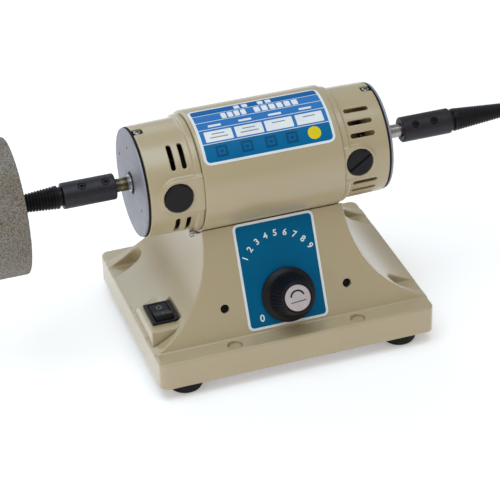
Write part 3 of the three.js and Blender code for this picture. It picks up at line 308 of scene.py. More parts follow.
def meet(a, b, fillet=0.0):
    """Where two solids overlap, with a rounded edge."""
    if not fillet:
        return np.maximum(a, b)
    outside = np.hypot(np.maximum(a + fillet, 0), np.maximum(b + fillet, 0))
    return np.minimum(-fillet, np.maximum(a, b)) + outside


def join(a, b, fillet=0.0):
    return -meet(-a, -b, fillet)


def carve(a, b, fillet=0.0):
    return meet(a, -b, fillet)


def slab(value, low, high):
    return np.maximum(low - value, value - high)


def block(x, y, z, low, high, fillet):
    """Box with round edges."""
    parts = [np.abs(v - (a + b) / 2) - (b - a) / 2 + fillet for v, a, b in zip((x, y, z), low, high)]
    outside = np.sqrt(sum(np.maximum(q, 0) ** 2 for q in parts))
    return outside + np.minimum(np.maximum(np.maximum(*parts[:2]), parts[2]), 0) - fillet


def gradient(field, points, reach=0.03):
    parts = []
    for axis in range(3):
        shift = np.zeros(3)
        shift[axis] = reach
        ahead, behind = points + shift, points - shift
        parts.append((field(*ahead.T) - field(*behind.T)) / (2 * reach))
    return np.stack(parts, -1)


def onto(field, points, limit, rounds=4):
    """Points moved onto the zero surface of a field."""
    for _ in range(rounds):
        slope = gradient(field, points)
        step = field(*points.T) / np.maximum((slope ** 2).sum(-1), 0.2)
        points = points - np.clip(step, -limit, limit)[:, None] * slope
    return points


CUBE = np.array([(i, j, k) for i in (0, 1) for j in (0, 1) for k in (0, 1)])
CUBE_EDGES = [(a, b) for a in range(8) for b in range(a + 1, 8) if np.abs(CUBE[a] - CUBE[b]).sum() == 1]


def net(field, low, high, step, bend):
    """Corners and quads of a net over the zero surface, on a grid that bend() puts in space."""
    axes = [np.arange(a, b + s, s, dtype=np.float64) for a, b, s in zip(low, high, step)]
    grid = np.stack(np.meshgrid(*axes, indexing="ij"), -1)
    values = field(*np.moveaxis(bend(grid), -1, 0))
    inside = values < 0
    size = np.array(values.shape) - 1
    count = sum(inside[i:i + size[0], j:j + size[1], k:k + size[2]].astype(np.int8) for i, j, k in CUBE)
    cells = np.argwhere((count > 0) & (count < 8))
    index = np.full(size, -1)
    index[tuple(cells.T)] = np.arange(len(cells))
    held = np.stack([values[tuple((cells + c).T)] for c in CUBE], -1)
    total, hits = np.zeros((len(cells), 3)), np.zeros(len(cells))
    for a, b in CUBE_EDGES:
        crossed = (held[:, a] < 0) != (held[:, b] < 0)
        share = np.where(crossed, held[:, a] / np.where(crossed, held[:, a] - held[:, b], 1), 0)
        total += np.where(crossed[:, None], CUBE[a] + share[:, None] * (CUBE[b] - CUBE[a]), 0)
        hits += crossed
    places = bend(np.array(low) + (cells + total / hits[:, None]) * np.array(step))
    quads = []
    for axis in range(3):
        u, v = [(1, 2), (2, 0), (0, 1)][axis]
        one = np.eye(3, dtype=int)
        near = [slice(None)] * 3
        near[axis] = slice(0, -1)
        far = [slice(None)] * 3
        far[axis] = slice(1, None)
        changed = inside[tuple(near)] != inside[tuple(far)]
        edges = np.argwhere(changed)
        a, b = edges[:, u], edges[:, v]
        edges = edges[(a > 0) & (b > 0) & (a < size[u]) & (b < size[v])]
        ring = [edges - one[u] - one[v], edges - one[v], edges, edges - one[u]]
        found = np.stack([index[tuple(r.T)] for r in ring], -1)
        flip = ~inside[tuple(edges.T)]
        found[flip] = found[flip][:, ::-1]
        quads.append(found)
    return places, np.concatenate(quads)


def straight(grid):
    return grid


def round_x(grid):
    """(along X, degrees up from the front, radius) as a point in space."""
    along, degrees, radius = np.moveaxis(grid, -1, 0)
    angle = np.radians(degrees)
    return np.stack([along, -radius * np.cos(angle), radius * np.sin(angle)], -1)


def moulded(name, field, low, high, step, matrix, bend, keep):
    """Mesh of a distance field, with the field's own slope as its shading."""
    step = np.broadcast_to(step, 3)
    corners, quads = net(field, low, high, step, bend)
    limit = float(min(step)) * 0.6
    corners = onto(field, corners, limit)
    mesh = bpy.data.meshes.new(name)
    mesh.from_pydata(corners, [], quads)
    work = bmesh.new()
    work.from_mesh(mesh)
    bmesh.ops.remove_doubles(work, verts=work.verts, dist=0.02)
    work.to_mesh(mesh)
    work.free()
    if keep < 1:
        thin = bpy.data.objects.new("thinned", mesh)
        bpy.context.scene.collection.objects.link(thin)
        rule = thin.modifiers.new("thin", "DECIMATE")
        rule.ratio = keep
        now = bpy.context.evaluated_depsgraph_get()
        made = bpy.data.meshes.new_from_object(thin.evaluated_get(now), depsgraph=now)
        bpy.data.objects.remove(thin)
        mesh = made
    corners = np.empty(len(mesh.vertices) * 3)
    mesh.vertices.foreach_get("co", corners)
    corners = onto(field, corners.reshape(-1, 3), limit, 2)
    mesh.vertices.foreach_set("co", corners.ravel())
    slopes = gradient(field, corners, 0.12)
    slopes /= np.maximum(np.linalg.norm(slopes, axis=1, keepdims=True), 1e-9)
    full = TO_METRES @ matrix
    mesh.transform(full)
    turn = np.array(full.to_3x3().normalized())
    mesh.polygons.foreach_set("use_smooth", [True] * len(mesh.polygons))
    mesh.normals_split_custom_set_from_vertices(slopes @ turn.T)
    mesh.name = name
    return mesh


def piece(name, mesh, look, body, slot, *nodes):
    """Object that rides on a body, takes the given finish and stands for some CAD nodes."""
    thing = bpy.data.objects.new(name, mesh)
    bpy.context.scene.collection.objects.link(thing)
    mesh.materials.append(look)
    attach(thing, body)
    if nodes:
        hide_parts(*nodes)
    return thing


def lathe(name, profile, matrix, segments, *rest):
    """Turned piece; the rest goes to piece()."""
    return piece(name, turned(name, profile, matrix, segments), *rest)


def cast(name, field, low, high, step, matrix, *rest, bend=straight, keep=1.0):
    """Moulded piece; the rest goes to piece()."""
    return piece(name, moulded(name, field, low, high, step, matrix, bend, keep), *rest)


# -------- base casting


def sweep_table(sign):
    """Heights and X of one side of the pedestal, lowest first, and how X changes with height."""
    top, bend = SWEEP_CENTRE + sign * SWEEP_TOP, SWEEP_CENTRE + sign * SWEEP_BEND
    xs = [top, top, bend, sign * SWEEP_FOOT]
    zs = [PEDESTAL_TOP, SWEEP_UPPER_Z, SWEEP_LOWER_Z, SKIRT_TOP]
    t = np.linspace(0, 1, 160)
    weights = [(1 - t) ** 3, 3 * t * (1 - t) ** 2, 3 * t ** 2 * (1 - t), t ** 3]
    x = sum(w * v for w, v in zip(weights, xs))[::-1]
    z = sum(w * v for w, v in zip(weights, zs))[::-1]
    return z, x, np.gradient(x, z)


SWEEPS = {sign: sweep_table(sign) for sign in (-1, 1)}


def sweep_side(x, z, sign):
    heights, places, slopes = SWEEPS[sign]
    edge = np.interp(z, heights, places)
    slope = np.interp(z, heights, slopes)
    return sign * (x - edge) / np.sqrt(1 + slope ** 2)


def pocket_cutter(x, y, z, sign_x, sign_y):
    along = np.minimum(sign_x * x - POCKET_CENTRE_X, 0)
    plan = np.hypot(along, sign_y * y - POCKET_Y) - POCKET_RADIUS
    return meet(plan, POCKET_FLOOR - z, 2.0)


CORNERS = [(-1, -1), (1, -1), (-1, 1), (1, 1)]


def with_land(body, x, y, z):
    """Adds the flat land for the switch, run smoothly into the sweep at its right and back."""
    heights, places, slopes = SWEEPS[-1]
    sweep = np.interp(x, places, heights)
    slope = np.interp(x, places, 1 / np.maximum(np.abs(slopes), 0.2))
    right = np.maximum(x - LAND_SEAT_RIGHT, 0)
    behind = np.maximum(y - LAND_SEAT_BACK, 0)
    before = np.maximum(LAND_SEAT_FRONT - y, 0)
    cut = np.sqrt(right ** 2 + behind ** 2 + before ** 2) / LAND_CUT
    share = np.clip(np.where(sweep < LAND_TOP, np.hypot(right, behind) / LAND_BLEND, cut), 0, 1)
    share = share * share * (3 - 2 * share)
    height = sweep + (LAND_TOP - sweep) * (1 - share)
    above = (z - height) / np.sqrt(1 + np.minimum(slope, 4) ** 2 * share)
    plan = np.maximum(x - LAND_REGION_RIGHT, y - LAND_REGION_BACK)
    face = (-y - FACE_FOOT + (z - SKIRT_TOP) * math.tan(FACE_TILT)) * math.cos(FACE_TILT)
    edges = np.maximum(np.maximum(LAND_LEFT - x, LAND_FRONT - y), face)
    added = np.maximum(meet(edges, above, 1.0), plan)
    removed = np.maximum(np.maximum(-above, LAND_FRONT - y), plan)
    return np.maximum(np.minimum(body, added), -removed)


def base_outside(x, y, z):
    """Outer skin of the casting, running on downward without a bottom."""
    plan = block(x, y, 0 * z, (-BASE_WIDTH / 2, -BASE_DEPTH / 2, -99), (BASE_WIDTH / 2, BASE_DEPTH / 2, 99),
                 BASE_CORNER)
    skirt = meet(plan, z - SKIRT_TOP, 1.8)
    sides = np.maximum(sweep_side(x, z, -1), sweep_side(x, z, 1))
    depth = FACE_FOOT - (z - SKIRT_TOP) * math.tan(FACE_TILT)
    faces = (np.abs(y) - depth) * math.cos(FACE_TILT)
    pedestal = meet(meet(sides, faces, 1.2), z - PEDESTAL_TOP)
    body = join(skirt, pedestal, 1.0)
    for sign_x, sign_y in CORNERS:
        body = carve(body, pocket_cutter(x, y, z, sign_x, sign_y), 0.9)
    body = with_land(body, x, y, z)
    body = carve(body, np.hypot(y, z - AXIS_Z) - SHELL_RADIUS - GAP, 0.5)
    return body


def along_face(x, y, z):
    """Distances along X, up the slope and out of the sloping front face."""
    back, rise = y + FACE_FOOT, z - SKIRT_TOP
    up = back * math.sin(FACE_TILT) + rise * math.cos(FACE_TILT)
    out = -back * math.cos(FACE_TILT) + rise * math.sin(FACE_TILT)
    return x, up, out


def base_field(x, y, z):
    outside = base_outside(x, y, z)
    body = meet(outside, BASE_BOTTOM - z, 0.8)
    body = carve(body, outside + WALL)
    for sign_x, sign_y in CORNERS:
        away = np.hypot(x - sign_x * RECESS_X, y - sign_y * RECESS_Y)
        body = carve(body, meet(away - RECESS_RADIUS, RECESS_FLOOR - 0.4 - z, 0.3), 0.25)
    across, up, out = along_face(x, y, z)
    for place in CASE_SCREW_X:
        hole = np.hypot(across - place, up - CASE_SCREW_UP) - CASE_SCREW_HOLE
        body = carve(body, meet(hole, slab(out, -12, 4)), 0.4)
    knob_hole = np.hypot(across - KNOB_X, up - KNOB_UP) - KNOB_HOLE
    body = carve(body, np.maximum(knob_hole, slab(out, -12, 4)))
    wide, long = SWITCH_HOLE_HALF
    switch_hole = np.maximum(np.abs(x - SWITCH_X) - wide, np.abs(y - SWITCH_Y) - long)
    body = carve(body, np.maximum(switch_hole, 30 - z))
    bushing = np.hypot(x - BUSHING_X, z - BUSHING_Z) - BUSHING_HOLE
    return carve(body, np.maximum(bushing, 70 - y))


def add_base():
    low, high = (-109, -84.5, 8.5), (109, 84.5, 110)
    cast("base_shell", base_field, low, high, 1.0, Matrix.Identity(4), PAINT, "machine", "cream_paint",
         "base_casting", keep=0.5)


# -------- motor case


def toward(y, z, degrees):
    """Distances out from the shaft and round it, at an angle up from the front."""
    angle = math.radians(degrees)
    out = -y * math.cos(angle) + z * math.sin(angle)
    around = y * math.sin(angle) + z * math.cos(angle)
    return out, around


def bell_body(x, y, z, end, mouth, cap_x, cap_radius, boss_radius):
    """Bell with its ring, brush bosses, cap holes and the notch for the screw at the top."""
    sign = 1 if mouth > end else -1
    radius = np.hypot(y, z)
    inward = sign * (x - end)
    length = abs(mouth - end)
    wall = radius - (BELL_END_RADIUS + (BELL_RADIUS - BELL_END_RADIUS) * inward / length)
    body = meet(meet(wall, -inward, 0.8), inward - length)
    ring = meet(meet(radius - RING_RADIUS, inward - length, 0.5), length - RING_WIDTH - inward, 1.2)
    body = join(body, ring, 1.0)
    for side in (BRUSH_TILT, BRUSH_TILT + 180):
        out, around = toward(y, z, side)
        plan = np.hypot(np.minimum(sign * (x - cap_x), 0), around) - boss_radius
        boss = meet(plan, out - BOSS_FACE, 1.3)
        boss = np.maximum(np.maximum(boss, 30 - out), inward - length + 0.1)
        body = join(body, boss, 1.6)
        hole = np.hypot(x - cap_x, around) - cap_radius - GAP
        body = carve(body, np.maximum(hole, 30 - out), 0.4)
    body = np.maximum(body, BELL_BORE - radius)
    notch = meet(meet(np.abs(y) - 3.6, inward - 7.5, 1.5), 39.0 - z)
    return carve(body, notch, 0.4)


def left_bell_field(x, y, z):
    body = bell_body(x, y, z, BELL_LEFT_END, BELL_LEFT_MOUTH, LEFT_CAP_X, LEFT_CAP_RADIUS,
                     LEFT_BOSS_RADIUS)
    radius = np.hypot(y, z)
    for side in (BRUSH_TILT, BRUSH_TILT + 180):
        for offset in LEFT_VENT_OFFSETS:
            out, around = toward(y, z, side + offset)
            arc = radius * np.abs(np.arctan2(around, out))
            reach = radius * math.radians(LEFT_VENT_HALF_ANGLE) - VENT_HALF
            for place in LEFT_VENT_X:
                slot = np.hypot(np.maximum(arc - reach, 0), x - place) - VENT_HALF
                body = carve(body, slot, 0.5)
    return body


def right_bell_field(x, y, z):
    body = bell_body(x, y, z, BELL_RIGHT_END, BELL_RIGHT_MOUTH, RIGHT_CAP_X, RIGHT_CAP_RADIUS,
                     RIGHT_BOSS_RADIUS)
    low, high = RIGHT_VENT_ENDS
    middle, half = (low + high) / 2, (high - low) / 2 - VENT_HALF
    for side in (BRUSH_TILT, BRUSH_TILT + 180):
        for offset in RIGHT_VENT_OFFSETS:
            out, around = toward(y, z, side + offset)
            slot = np.hypot(np.maximum(np.abs(x - middle) - half, 0), around) - VENT_HALF
            body = carve(body, np.maximum(slot, 10 - out), 0.5)
    return body


def add_bells():
    step = (0.8, 1.0, 0.8)
    for side, field, low, high in (("left", left_bell_field, -97, -55),
                                   ("right", right_bell_field, 49.6, 88.4)):
        cast(f"{side}_bell", field, (low, 0, 36.3), (high, 361, 45), step, MOTOR, PAINT, "machine",
             "cream_paint", f"{side}_end_bell", bend=round_x)


def add_notch_shade_strips():
    """Black strips at the bottom of the screw notches in the bells: painted shade, standing in for the shadow
    deep in each notch.
    """
    for side, low, high in (("left", BELL_LEFT_END + 0.2, BELL_LEFT_END + 7.3),
                            ("right", BELL_RIGHT_END - 7.3, BELL_RIGHT_END - 0.2)):
        box = ((low, -3.4, 38.2), (high, 3.4, 39.2))
        # painted shade: a black strip on each notch floor, where the notch holds only shadow
        cast(f"{side}_notch_shade_strip", lambda x, y, z: block(x, y, z, *box, 0.3), (low - 0.6, -4, 37.6),
             (high + 0.6, 4, 39.8), 0.3, MOTOR, RUBBER, "machine", "black_rubber")


def add_insulating_ring():
    """Pale insulating board behind the vents of the right bell."""
    profile = [(78.0, 17.2), (78.0, 39.0, 0.3), (79.3, 39.0, 0.3), (79.3, 17.2)]
    lathe("insulating_ring", profile, MOTOR @ ALONG_X, 96, AMBER, "machine", "brass")


def add_shell():
    profile = [(SHELL_LEFT, 41.4), (SHELL_LEFT, SHELL_RADIUS, 1.2), (SHELL_RIGHT, SHELL_RADIUS, 1.2),
               (SHELL_RIGHT, 41.4)]
    lathe("motor_barrel", profile, MOTOR @ ALONG_X, 180, PAINT, "machine", "cream_paint", "motor_shell")


def add_punch_marks():
    """Three small dark punch marks on the left plate."""
    profile = [(-0.05, 0), (-0.05, 1.3, 0.03), (0.35, 0.9), (0.35, 0)]
    for k, (degrees, radius) in enumerate(PUNCH_MARKS):
        angle = math.radians(degrees)
        spot = Matrix.Translation((PLATE_LEFT, -radius * math.cos(angle), radius * math.sin(angle)))
        lathe(f"punch_mark_{k + 1}", profile, MOTOR @ spot @ ALONG_X, 24, INK, "machine", "steel")


def add_end(side, face, sign):
    """End plate, gasket and bearing at one end; sign points into the motor."""
    inward = MOTOR @ Matrix.Translation((face, 0, 0)) @ ALONG_X @ Matrix.Diagonal((1, 1, sign, 1))
    plate = [(2.2, 8.5), (0, 8.5, 0.4), (0, 40.1, 0.5), (1.6, 40.1, 0.2), (1.6, 16.3), (12, 16.3), (12, 13.3),
             (2.2, 13.3)]
    lathe(f"{side}_plate", plate, inward, 144, PLATE, "machine", "steel", f"{side}_end_plate")
    seal = [(1.9, 37.0), (1.9, 40.6, 0.3), (2.9, 40.6, 0.3), (2.9, 37.0)]
    lathe(f"{side}_seal", seal, inward, 144, RUBBER, "machine", "black_rubber", f"{side}_gasket")
    race = [(2.5, 5.3), (2.5, 7.2, 0.2), (3.1, 7.4), (3.1, 11.2), (2.5, 11.4, 0.2), (2.5, 13.0, 0.4),
            (10.5, 13.0, 0.4), (10.5, 5.3)]
    lathe(f"{side}_ball_bearing", race, inward, 96, STEEL, "machine", "steel", f"{side}_bearing")


# -------- screws and caps


def pan_head(x, y, z, radius, height, shank, length, hole):
    """Pan head screw with a cross recess; its head stands on zero."""
    away = np.hypot(x, y)
    dome = np.sqrt(away ** 2 + (z + radius * 1.1) ** 2) - math.hypot(radius * 1.1 + height, 0)
    head = meet(meet(away - radius, dome, 0.3), -z)
    body = join(head, meet(away - shank, slab(z, -length, 0.2)))
    arms = np.minimum(np.maximum(np.abs(x) - hole, np.abs(y) - radius * 0.62),
                      np.maximum(np.abs(y) - hole, np.abs(x) - radius * 0.62))
    return carve(body, np.maximum(arms, height * 0.35 - z), 0.1)


def add_pan_screw(name, node, matrix, sizes, look, slot, turn):
    radius, height, shank, length = sizes
    reach = radius + 0.5
    cast(name, lambda x, y, z: pan_head(x, y, z, radius, height, shank, length, radius * 0.16),
         (-reach, -reach, -length - 0.5), (reach, reach, height + 0.5), 0.2,
         matrix @ Matrix.Rotation(turn, 4, "Z"), look, "machine", slot, node)


def add_screws():
    for name, x in zip(("left", "right"), CASE_SCREW_X):
        place = FACE @ Matrix.Translation((x, CASE_SCREW_UP, GAP - WALL))
        add_pan_screw(f"case_screw_head_{name}", f"case_screw_{name}", place, (2.9, 1.8, 1.6, 9), BLACK_STEEL,
                      "dark_steel", 0.4 if x < 0 else 1.1)
    for side, x in (("left", BELL_LEFT_END + 3.6), ("right", BELL_RIGHT_END - 3.6)):
        place = MOTOR @ Matrix.Translation((x, 0, 39.3))
        add_pan_screw(f"{side}_top_screw", f"{side}_rim_screw", place, (2.8, 2.0, 1.5, 2.2), STEEL, "steel",
                      0.3)
    head = [(0, 0), (0, 1.3), (0.5, 1.3), (0.5, 1.6), (0, 1.7), (0, 2.7, 0.6), (3, 2.7), (3, 0)]
    for side, x, sign in (("left", BOLT_X[0], 1), ("right", BOLT_X[1], -1)):
        seat = (x, -sign * BOLT_SEAT * math.cos(BOLT_FALL), -BOLT_SEAT * math.sin(BOLT_FALL))
        place = MOTOR @ Matrix.Translation(seat) @ ALONG_X @ Matrix.Diagonal((1, 1, sign, 1))
        lathe(f"{side}_bolt_head", head, place, 48, STEEL, "machine", "steel", f"{side}_bell_bolt")


def cap_field(x, y, z, radius, top, slot):
    away = np.hypot(x, y)
    body = meet(meet(away - radius, z - top, 1.0), 37.8 - z)
    if slot:
        groove = np.maximum(np.abs(y) - 1.0, top - 1.3 - z)
        return carve(body, groove, 0.25)
    return body


def add_caps():
    for place, side in (("front", BRUSH_TILT), ("rear", BRUSH_TILT + 180)):
        turn = Matrix.Rotation(math.radians(90 - side), 4, "X")
        for kind, x, radius, top, slot, spin in (
                ("blank_cap", LEFT_CAP_X, LEFT_CAP_RADIUS, BOSS_FACE + 1.4, False, 0.0),
                ("brush_cap", RIGHT_CAP_X, RIGHT_CAP_RADIUS, BOSS_FACE + 0.8, True, 0.55)):
            matrix = MOTOR @ turn @ Matrix.Translation((x, 0, 0)) @ Matrix.Rotation(spin, 4, "Z")
            reach = radius + 0.8
            cast(f"{place}_{kind}_cover", lambda a, b, c: cap_field(a, b, c, radius, top, slot),
                 (-reach, -reach, 37.2), (reach, reach, top + 0.8), 0.35, matrix, PLASTIC, "machine",
                 "black_plastic", f"{place}_{kind}")


# -------- printed films


def strip(corners, faces, left, right, low, high, inner, outer):
    """Adds one printed shape on the motor shell; left and right give X at a share of its height."""
    steps = max(2, int((high - low) / 1.5))
    start = len(corners)
    for k in range(steps + 1):
        share = k / steps
        angle = math.radians(low + (high - low) * share)
        for x in (left(share), right(share)):
            for radius in (inner, outer):
                corners.append((x, -radius * math.cos(angle), radius * math.sin(angle)))
    for k in range(steps):
        a, b = start + 4 * k, start + 4 * k + 4
        faces += [(a + 1, a + 3, b + 3, b + 1), (a, b, b + 2, a + 2), (a, a + 1, b + 1, b),
                  (a + 2, b + 2, b + 3, a + 3)]
    last = start + 4 * steps
    faces += [(start, start + 2, start + 3, start + 1), (last, last + 1, last + 3, last + 2)]


def corner_inset(share, height, fillet):
    """How far a round corner pulls the side of a rectangle in, at a share of its height."""
    edge = min(share, 1 - share) * height
    if edge >= fillet:
        return 0.0
    return fillet - math.sqrt(max(fillet ** 2 - (fillet - edge) ** 2, 0))


def film(name, shapes, inner, outer, look):
    """Printed shapes on the motor shell, each (left, right, low angle, high angle, corner)."""
    corners, faces = [], []
    for left, right, low, high, fillet in shapes:
        height = math.radians(high - low) * outer
        parts = 1 if not fillet else 3
        cuts = [0, 1] if parts == 1 else [0, fillet / height, 1 - fillet / height, 1]
        for a, b in zip(cuts, cuts[1:]):
            steps = 8 if (parts == 3 and (a == 0 or b == 1)) else 1
            for s in range(steps):
                p, q = a + (b - a) * s / steps, a + (b - a) * (s + 1) / steps
                pull = (corner_inset(p, height, fillet), corner_inset(q, height, fillet))
                strip(corners, faces, lambda t: left + pull[0] + (pull[1] - pull[0]) * t,
                      lambda t: right - pull[0] - (pull[1] - pull[0]) * t,
                      low + (high - low) * p, low + (high - low) * q, inner, outer)
    mesh = bpy.data.meshes.new(name)
    mesh.from_pydata(corners, [], faces)
    mesh.transform(TO_METRES @ MOTOR)
    mesh.polygons.foreach_set("use_smooth", [True] * len(mesh.polygons))
    mesh.set_sharp_from_angle(angle=math.radians(30))
    return piece(name, mesh, look, "machine", "blue_label")


# one plain frame: (left, right) from its middle, (low, high) in degrees and the corner
FRAME_BARS = ((-4.4, 4.4, 38.4, 40.6, 0.6), (-4.4, 4.4, 46.8, 49, 0.6), (-4.4, -2.6, 40.6, 46.8, 0.3),
              (2.6, 4.4, 40.6, 46.8, 0.3), (-1.4, 1.4, 42.2, 45.2, 0.5))


def add_label():
    left, right = -53.6, 46.0
    border = film("label_border", [(left, right, 32.4, 96.6, 5)], 45.41, 45.72, WHITE_PRINT)
    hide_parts("top_label")
    edge = 2.0
    film("label_ground", [(left + edge, right - edge, 34.8, 94.4, 3.2)], 45.6, 45.78, BLUE_PRINT)
    film("label_top_band", [(left + edge, right - edge, 85.6, 94.4, 2.4)], 45.7, 45.81, DEEP_PRINT)
    film("label_low_band", [(left + edge, right - edge, 34.8, 52.0, 3.0)], 45.7, 45.81, LOW_PRINT)
    lines = [(left + edge, right - edge, a, a + 0.6, 0) for a in (51.6, 66.4, 75.4, 85.4)]
    fields = [(a, b, 53.6, 64.4, 0.6) for a, b in ((-48.5, -27.8), (-25.5, -4.8), (-3, 18), (20.5, 41))]
    title = [(-31 + 5.0 * k, -27.2 + 5.0 * k, 76.9, 84.2, 0.9) for k in range(4)]
    title += [(-6 + 5.8 * k, -1.6 + 5.8 * k, 76.9, 84.2, 0.9) for k in range(6)]
    title += [(-19 + 6.0 * k, -14.8 + 6.0 * k, 87.2, 92.6, 0.7) for k in (0, 1, 3, 4)]
    small = [(a + 5, b - 6, 69, 71.4, 0.4) for a, b, _, _, _ in fields]
    film("label_white_marks", lines + fields + title + small, 45.75, 45.84, WHITE_PRINT)
    rows = [(a + 5.5, b - 5.5, 60.6, 61.7, 0.3) for a, b, _, _, _ in fields]
    rows += [(a + 3.5, b - 3.5, 57, 58.1, 0.3) for a, b, _, _, _ in fields[:2]]
    film("label_grey_marks", rows, 45.8, 45.87, GREY_PRINT)
    faint = []
    for middle in (-39, -20, -2, 14):
        for left_by, right_by, foot, head, fillet in FRAME_BARS:
            faint.append((middle + left_by, middle + right_by, foot, head, fillet))
    film("label_dark_marks", faint, 45.78, 45.84, DARK_PRINT)
    film("label_yellow_mark", [(26.2, 36.0, 38.0, 50.0, 4.6)], 45.78, 45.86, YELLOW_PRINT)


def flat_shape(name, outlines, low, high, matrix, look, body, slot, *nodes):
    """Flat printed shapes on a plane, from outlines in its X and Y."""
    corners, faces = [], []
    for outline in outlines:
        start, count = len(corners), len(outline)
        corners += [(x, y, low) for x, y in outline] + [(x, y, high) for x, y in outline]
        faces.append(tuple(range(start + count, start + 2 * count)))
        faces.append(tuple(range(start + count - 1, start - 1, -1)))
        for k in range(count):
            n = (k + 1) % count
            faces.append((start + k, start + n, start + count + n, start + count + k))
    return piece(name, plain_mesh(name, corners, faces, matrix, 30), look, body, slot, *nodes)


def arc_points(x, y, radius, start, end, steps=12):
    angles = [math.radians(start + (end - start) * k / steps) for k in range(steps + 1)]
    return [(x + radius * math.cos(a), y + radius * math.sin(a)) for a in angles]


def rounded_outline(low, high, fillet):
    (x0, y0), (x1, y1) = low, high
    left, right, bottom, top = x0 + fillet, x1 - fillet, y0 + fillet, y1 - fillet
    centres = [(right, bottom), (right, top), (left, top), (left, bottom)]
    return [p for k, (x, y) in enumerate(centres) for p in arc_points(x, y, fillet, 90 * k - 90, 90 * k, 6)]


def ring_outline(x, y, inner, outer, start, end, steps=24):
    return arc_points(x, y, outer, start, end, steps) + arc_points(x, y, inner, end, start, steps)


def numeral(text, size, matrix):
    """Mesh of a number, centred on its place."""
    letters = bpy.data.curves.new("numeral", "FONT")
    letters.body = text
    letters.size = size
    letters.extrude = 0.05
    letters.offset = 0.12
    letters.align_x = "CENTER"
    letters.align_y = "CENTER"
    letters.resolution_u = 4
    holder = bpy.data.objects.new("numeral", letters)
    bpy.context.scene.collection.objects.link(holder)
    mesh = bpy.data.meshes.new_from_object(holder.evaluated_get(bpy.context.evaluated_depsgraph_get()))
    bpy.data.objects.remove(holder)
    mesh.transform(TO_METRES @ matrix)
    return mesh


def merged(name, meshes):
    work = bmesh.new()
    for mesh in meshes:
        work.from_mesh(mesh)
    whole = bpy.data.meshes.new(name)
    work.to_mesh(whole)
    work.free()
    return whole


def add_panel():
    left, right = PANEL_X - PANEL_WIDTH / 2, PANEL_X + PANEL_WIDTH / 2
    low, high = PANEL_FOOT, PANEL_FOOT + PANEL_LENGTH
    border = rounded_outline((left, low), (right, high), 4.0)
    flat_shape("panel_border", [border], 0.05, 0.55, FACE, WHITE_PRINT, "machine", "teal_panel",
               "front_panel")
    inset = 1.9
    ground = rounded_outline((left + inset, low + inset), (right - inset, high - inset), 2.6)
    flat_shape("panel_ground", [ground], 0.3, 0.72, FACE, TEAL, "machine", "teal_panel")
    centre = (PANEL_X, 42.0)
    numbers = []
    for k in range(9):
        angle = math.radians(150 - 120 * k / 8)
        spot = (centre[0] + 29 * math.cos(angle), centre[1] + 29 * math.sin(angle))
        place = Matrix.Translation((*spot, 0.75)) @ Matrix.Rotation(angle - math.pi / 2, 4, "Z")
        numbers.append(numeral(str(k + 1), 6.6, FACE @ place))
    numbers.append(numeral("0", 7.4, FACE @ Matrix.Translation((left + 11.5, low + 8.0, 0.75))))
    piece("panel_numbers", merged("panel_numbers", numbers), WHITE_PRINT, "machine", "teal_panel")


# -------- speed knob and switch


def knob_radius(along, angle, radius):
    """Ribs on the grip, fading out at both of its ends."""
    if radius < 10.5 or radius > 16.8:
        return radius
    fade = min(1.0, max(0.0, (along - 6.2) / 2.0)) * min(1.0, max(0.0, (23.6 - along) / 2.0))
    return radius - 0.75 * fade * (0.5 + 0.5 * math.cos(30 * angle)) ** 2


def add_knob():
    place = FACE @ Matrix.Translation((KNOB_X, KNOB_UP, 0))
    grip = [(6 + 18 * k / 24, 16 - 4 * k / 24) for k in range(25)]
    profile = [(1.5, 3.3), (1.5, 20.5, 0.6), (3.4, 20.5, 0.9), (5.0, 17.0, 0.8), *grip[1:-1], (25, 11.8, 0.8),
               (25, 10.0, 0.3), (23, 10.0), (23, 3.3)]
    mesh = turned("knob_grip", profile, place, 300, knob_radius)
    piece("knob_grip", mesh, PLASTIC, "knob", "black_plastic", "speed_knob")
    disc = [(23.3, 0), (23.3, 9.7), (25.3, 9.7, 0.5), (25.3, 0)]
    lathe("knob_disc", disc, place, 96, CAP_GREY, "knob", "cap_grey", "knob_cap")
    tilt = place @ Matrix.Translation((0, 0, 25.3)) @ Matrix.Rotation(math.radians(4), 4, "Z")
    marks = [ring_outline(0, 0.6, 4.4, 5.7, 12, 168), [(-5.9, -2.9), (5.9, -2.9), (5.9, -2.3), (-5.9, -2.3)]]
    flat_shape("knob_marks", marks, -0.05, 0.03, tilt, INK, "knob", "cap_grey")


def bezel_field(x, y, z):
    wide, long = SWITCH_HALF
    rim = block(x, y, z, (-wide, -long, 0), (wide, long, 2.0), 0.7)
    body = np.maximum(np.maximum(np.abs(x) - wide + 1.4, np.abs(y) - long + 1.9), slab(z, -18, 1.0))
    well = block(x, y, z, (-ROCKER_HALF_WIDTH - 0.4, -ROCKER_RADIUS - 0.4, -6.3),
                 (ROCKER_HALF_WIDTH + 0.4, ROCKER_RADIUS + 0.4, 9), 0.4)
    return carve(np.minimum(rim, body), well, 0.4)


def rocker_field(x, y, z):
    """Rocker about its pivot: a shallow V top, round ends, soft edges."""
    end = math.radians(23)
    high, far = ROCKER_RADIUS * math.sin(end), ROCKER_RADIUS * math.cos(end)
    slope = math.atan2(high - ROCKER_RIDGE, far)
    top = (z - ROCKER_RIDGE - np.abs(y) * math.tan(slope)) * math.cos(slope)
    under = -z - 5.3 + np.abs(y) * 0.4
    wheel = np.hypot(y, z) - ROCKER_RADIUS
    side = np.abs(x) - ROCKER_HALF_WIDTH
    return meet(meet(meet(wheel, top, 0.7), under), side, 0.5)


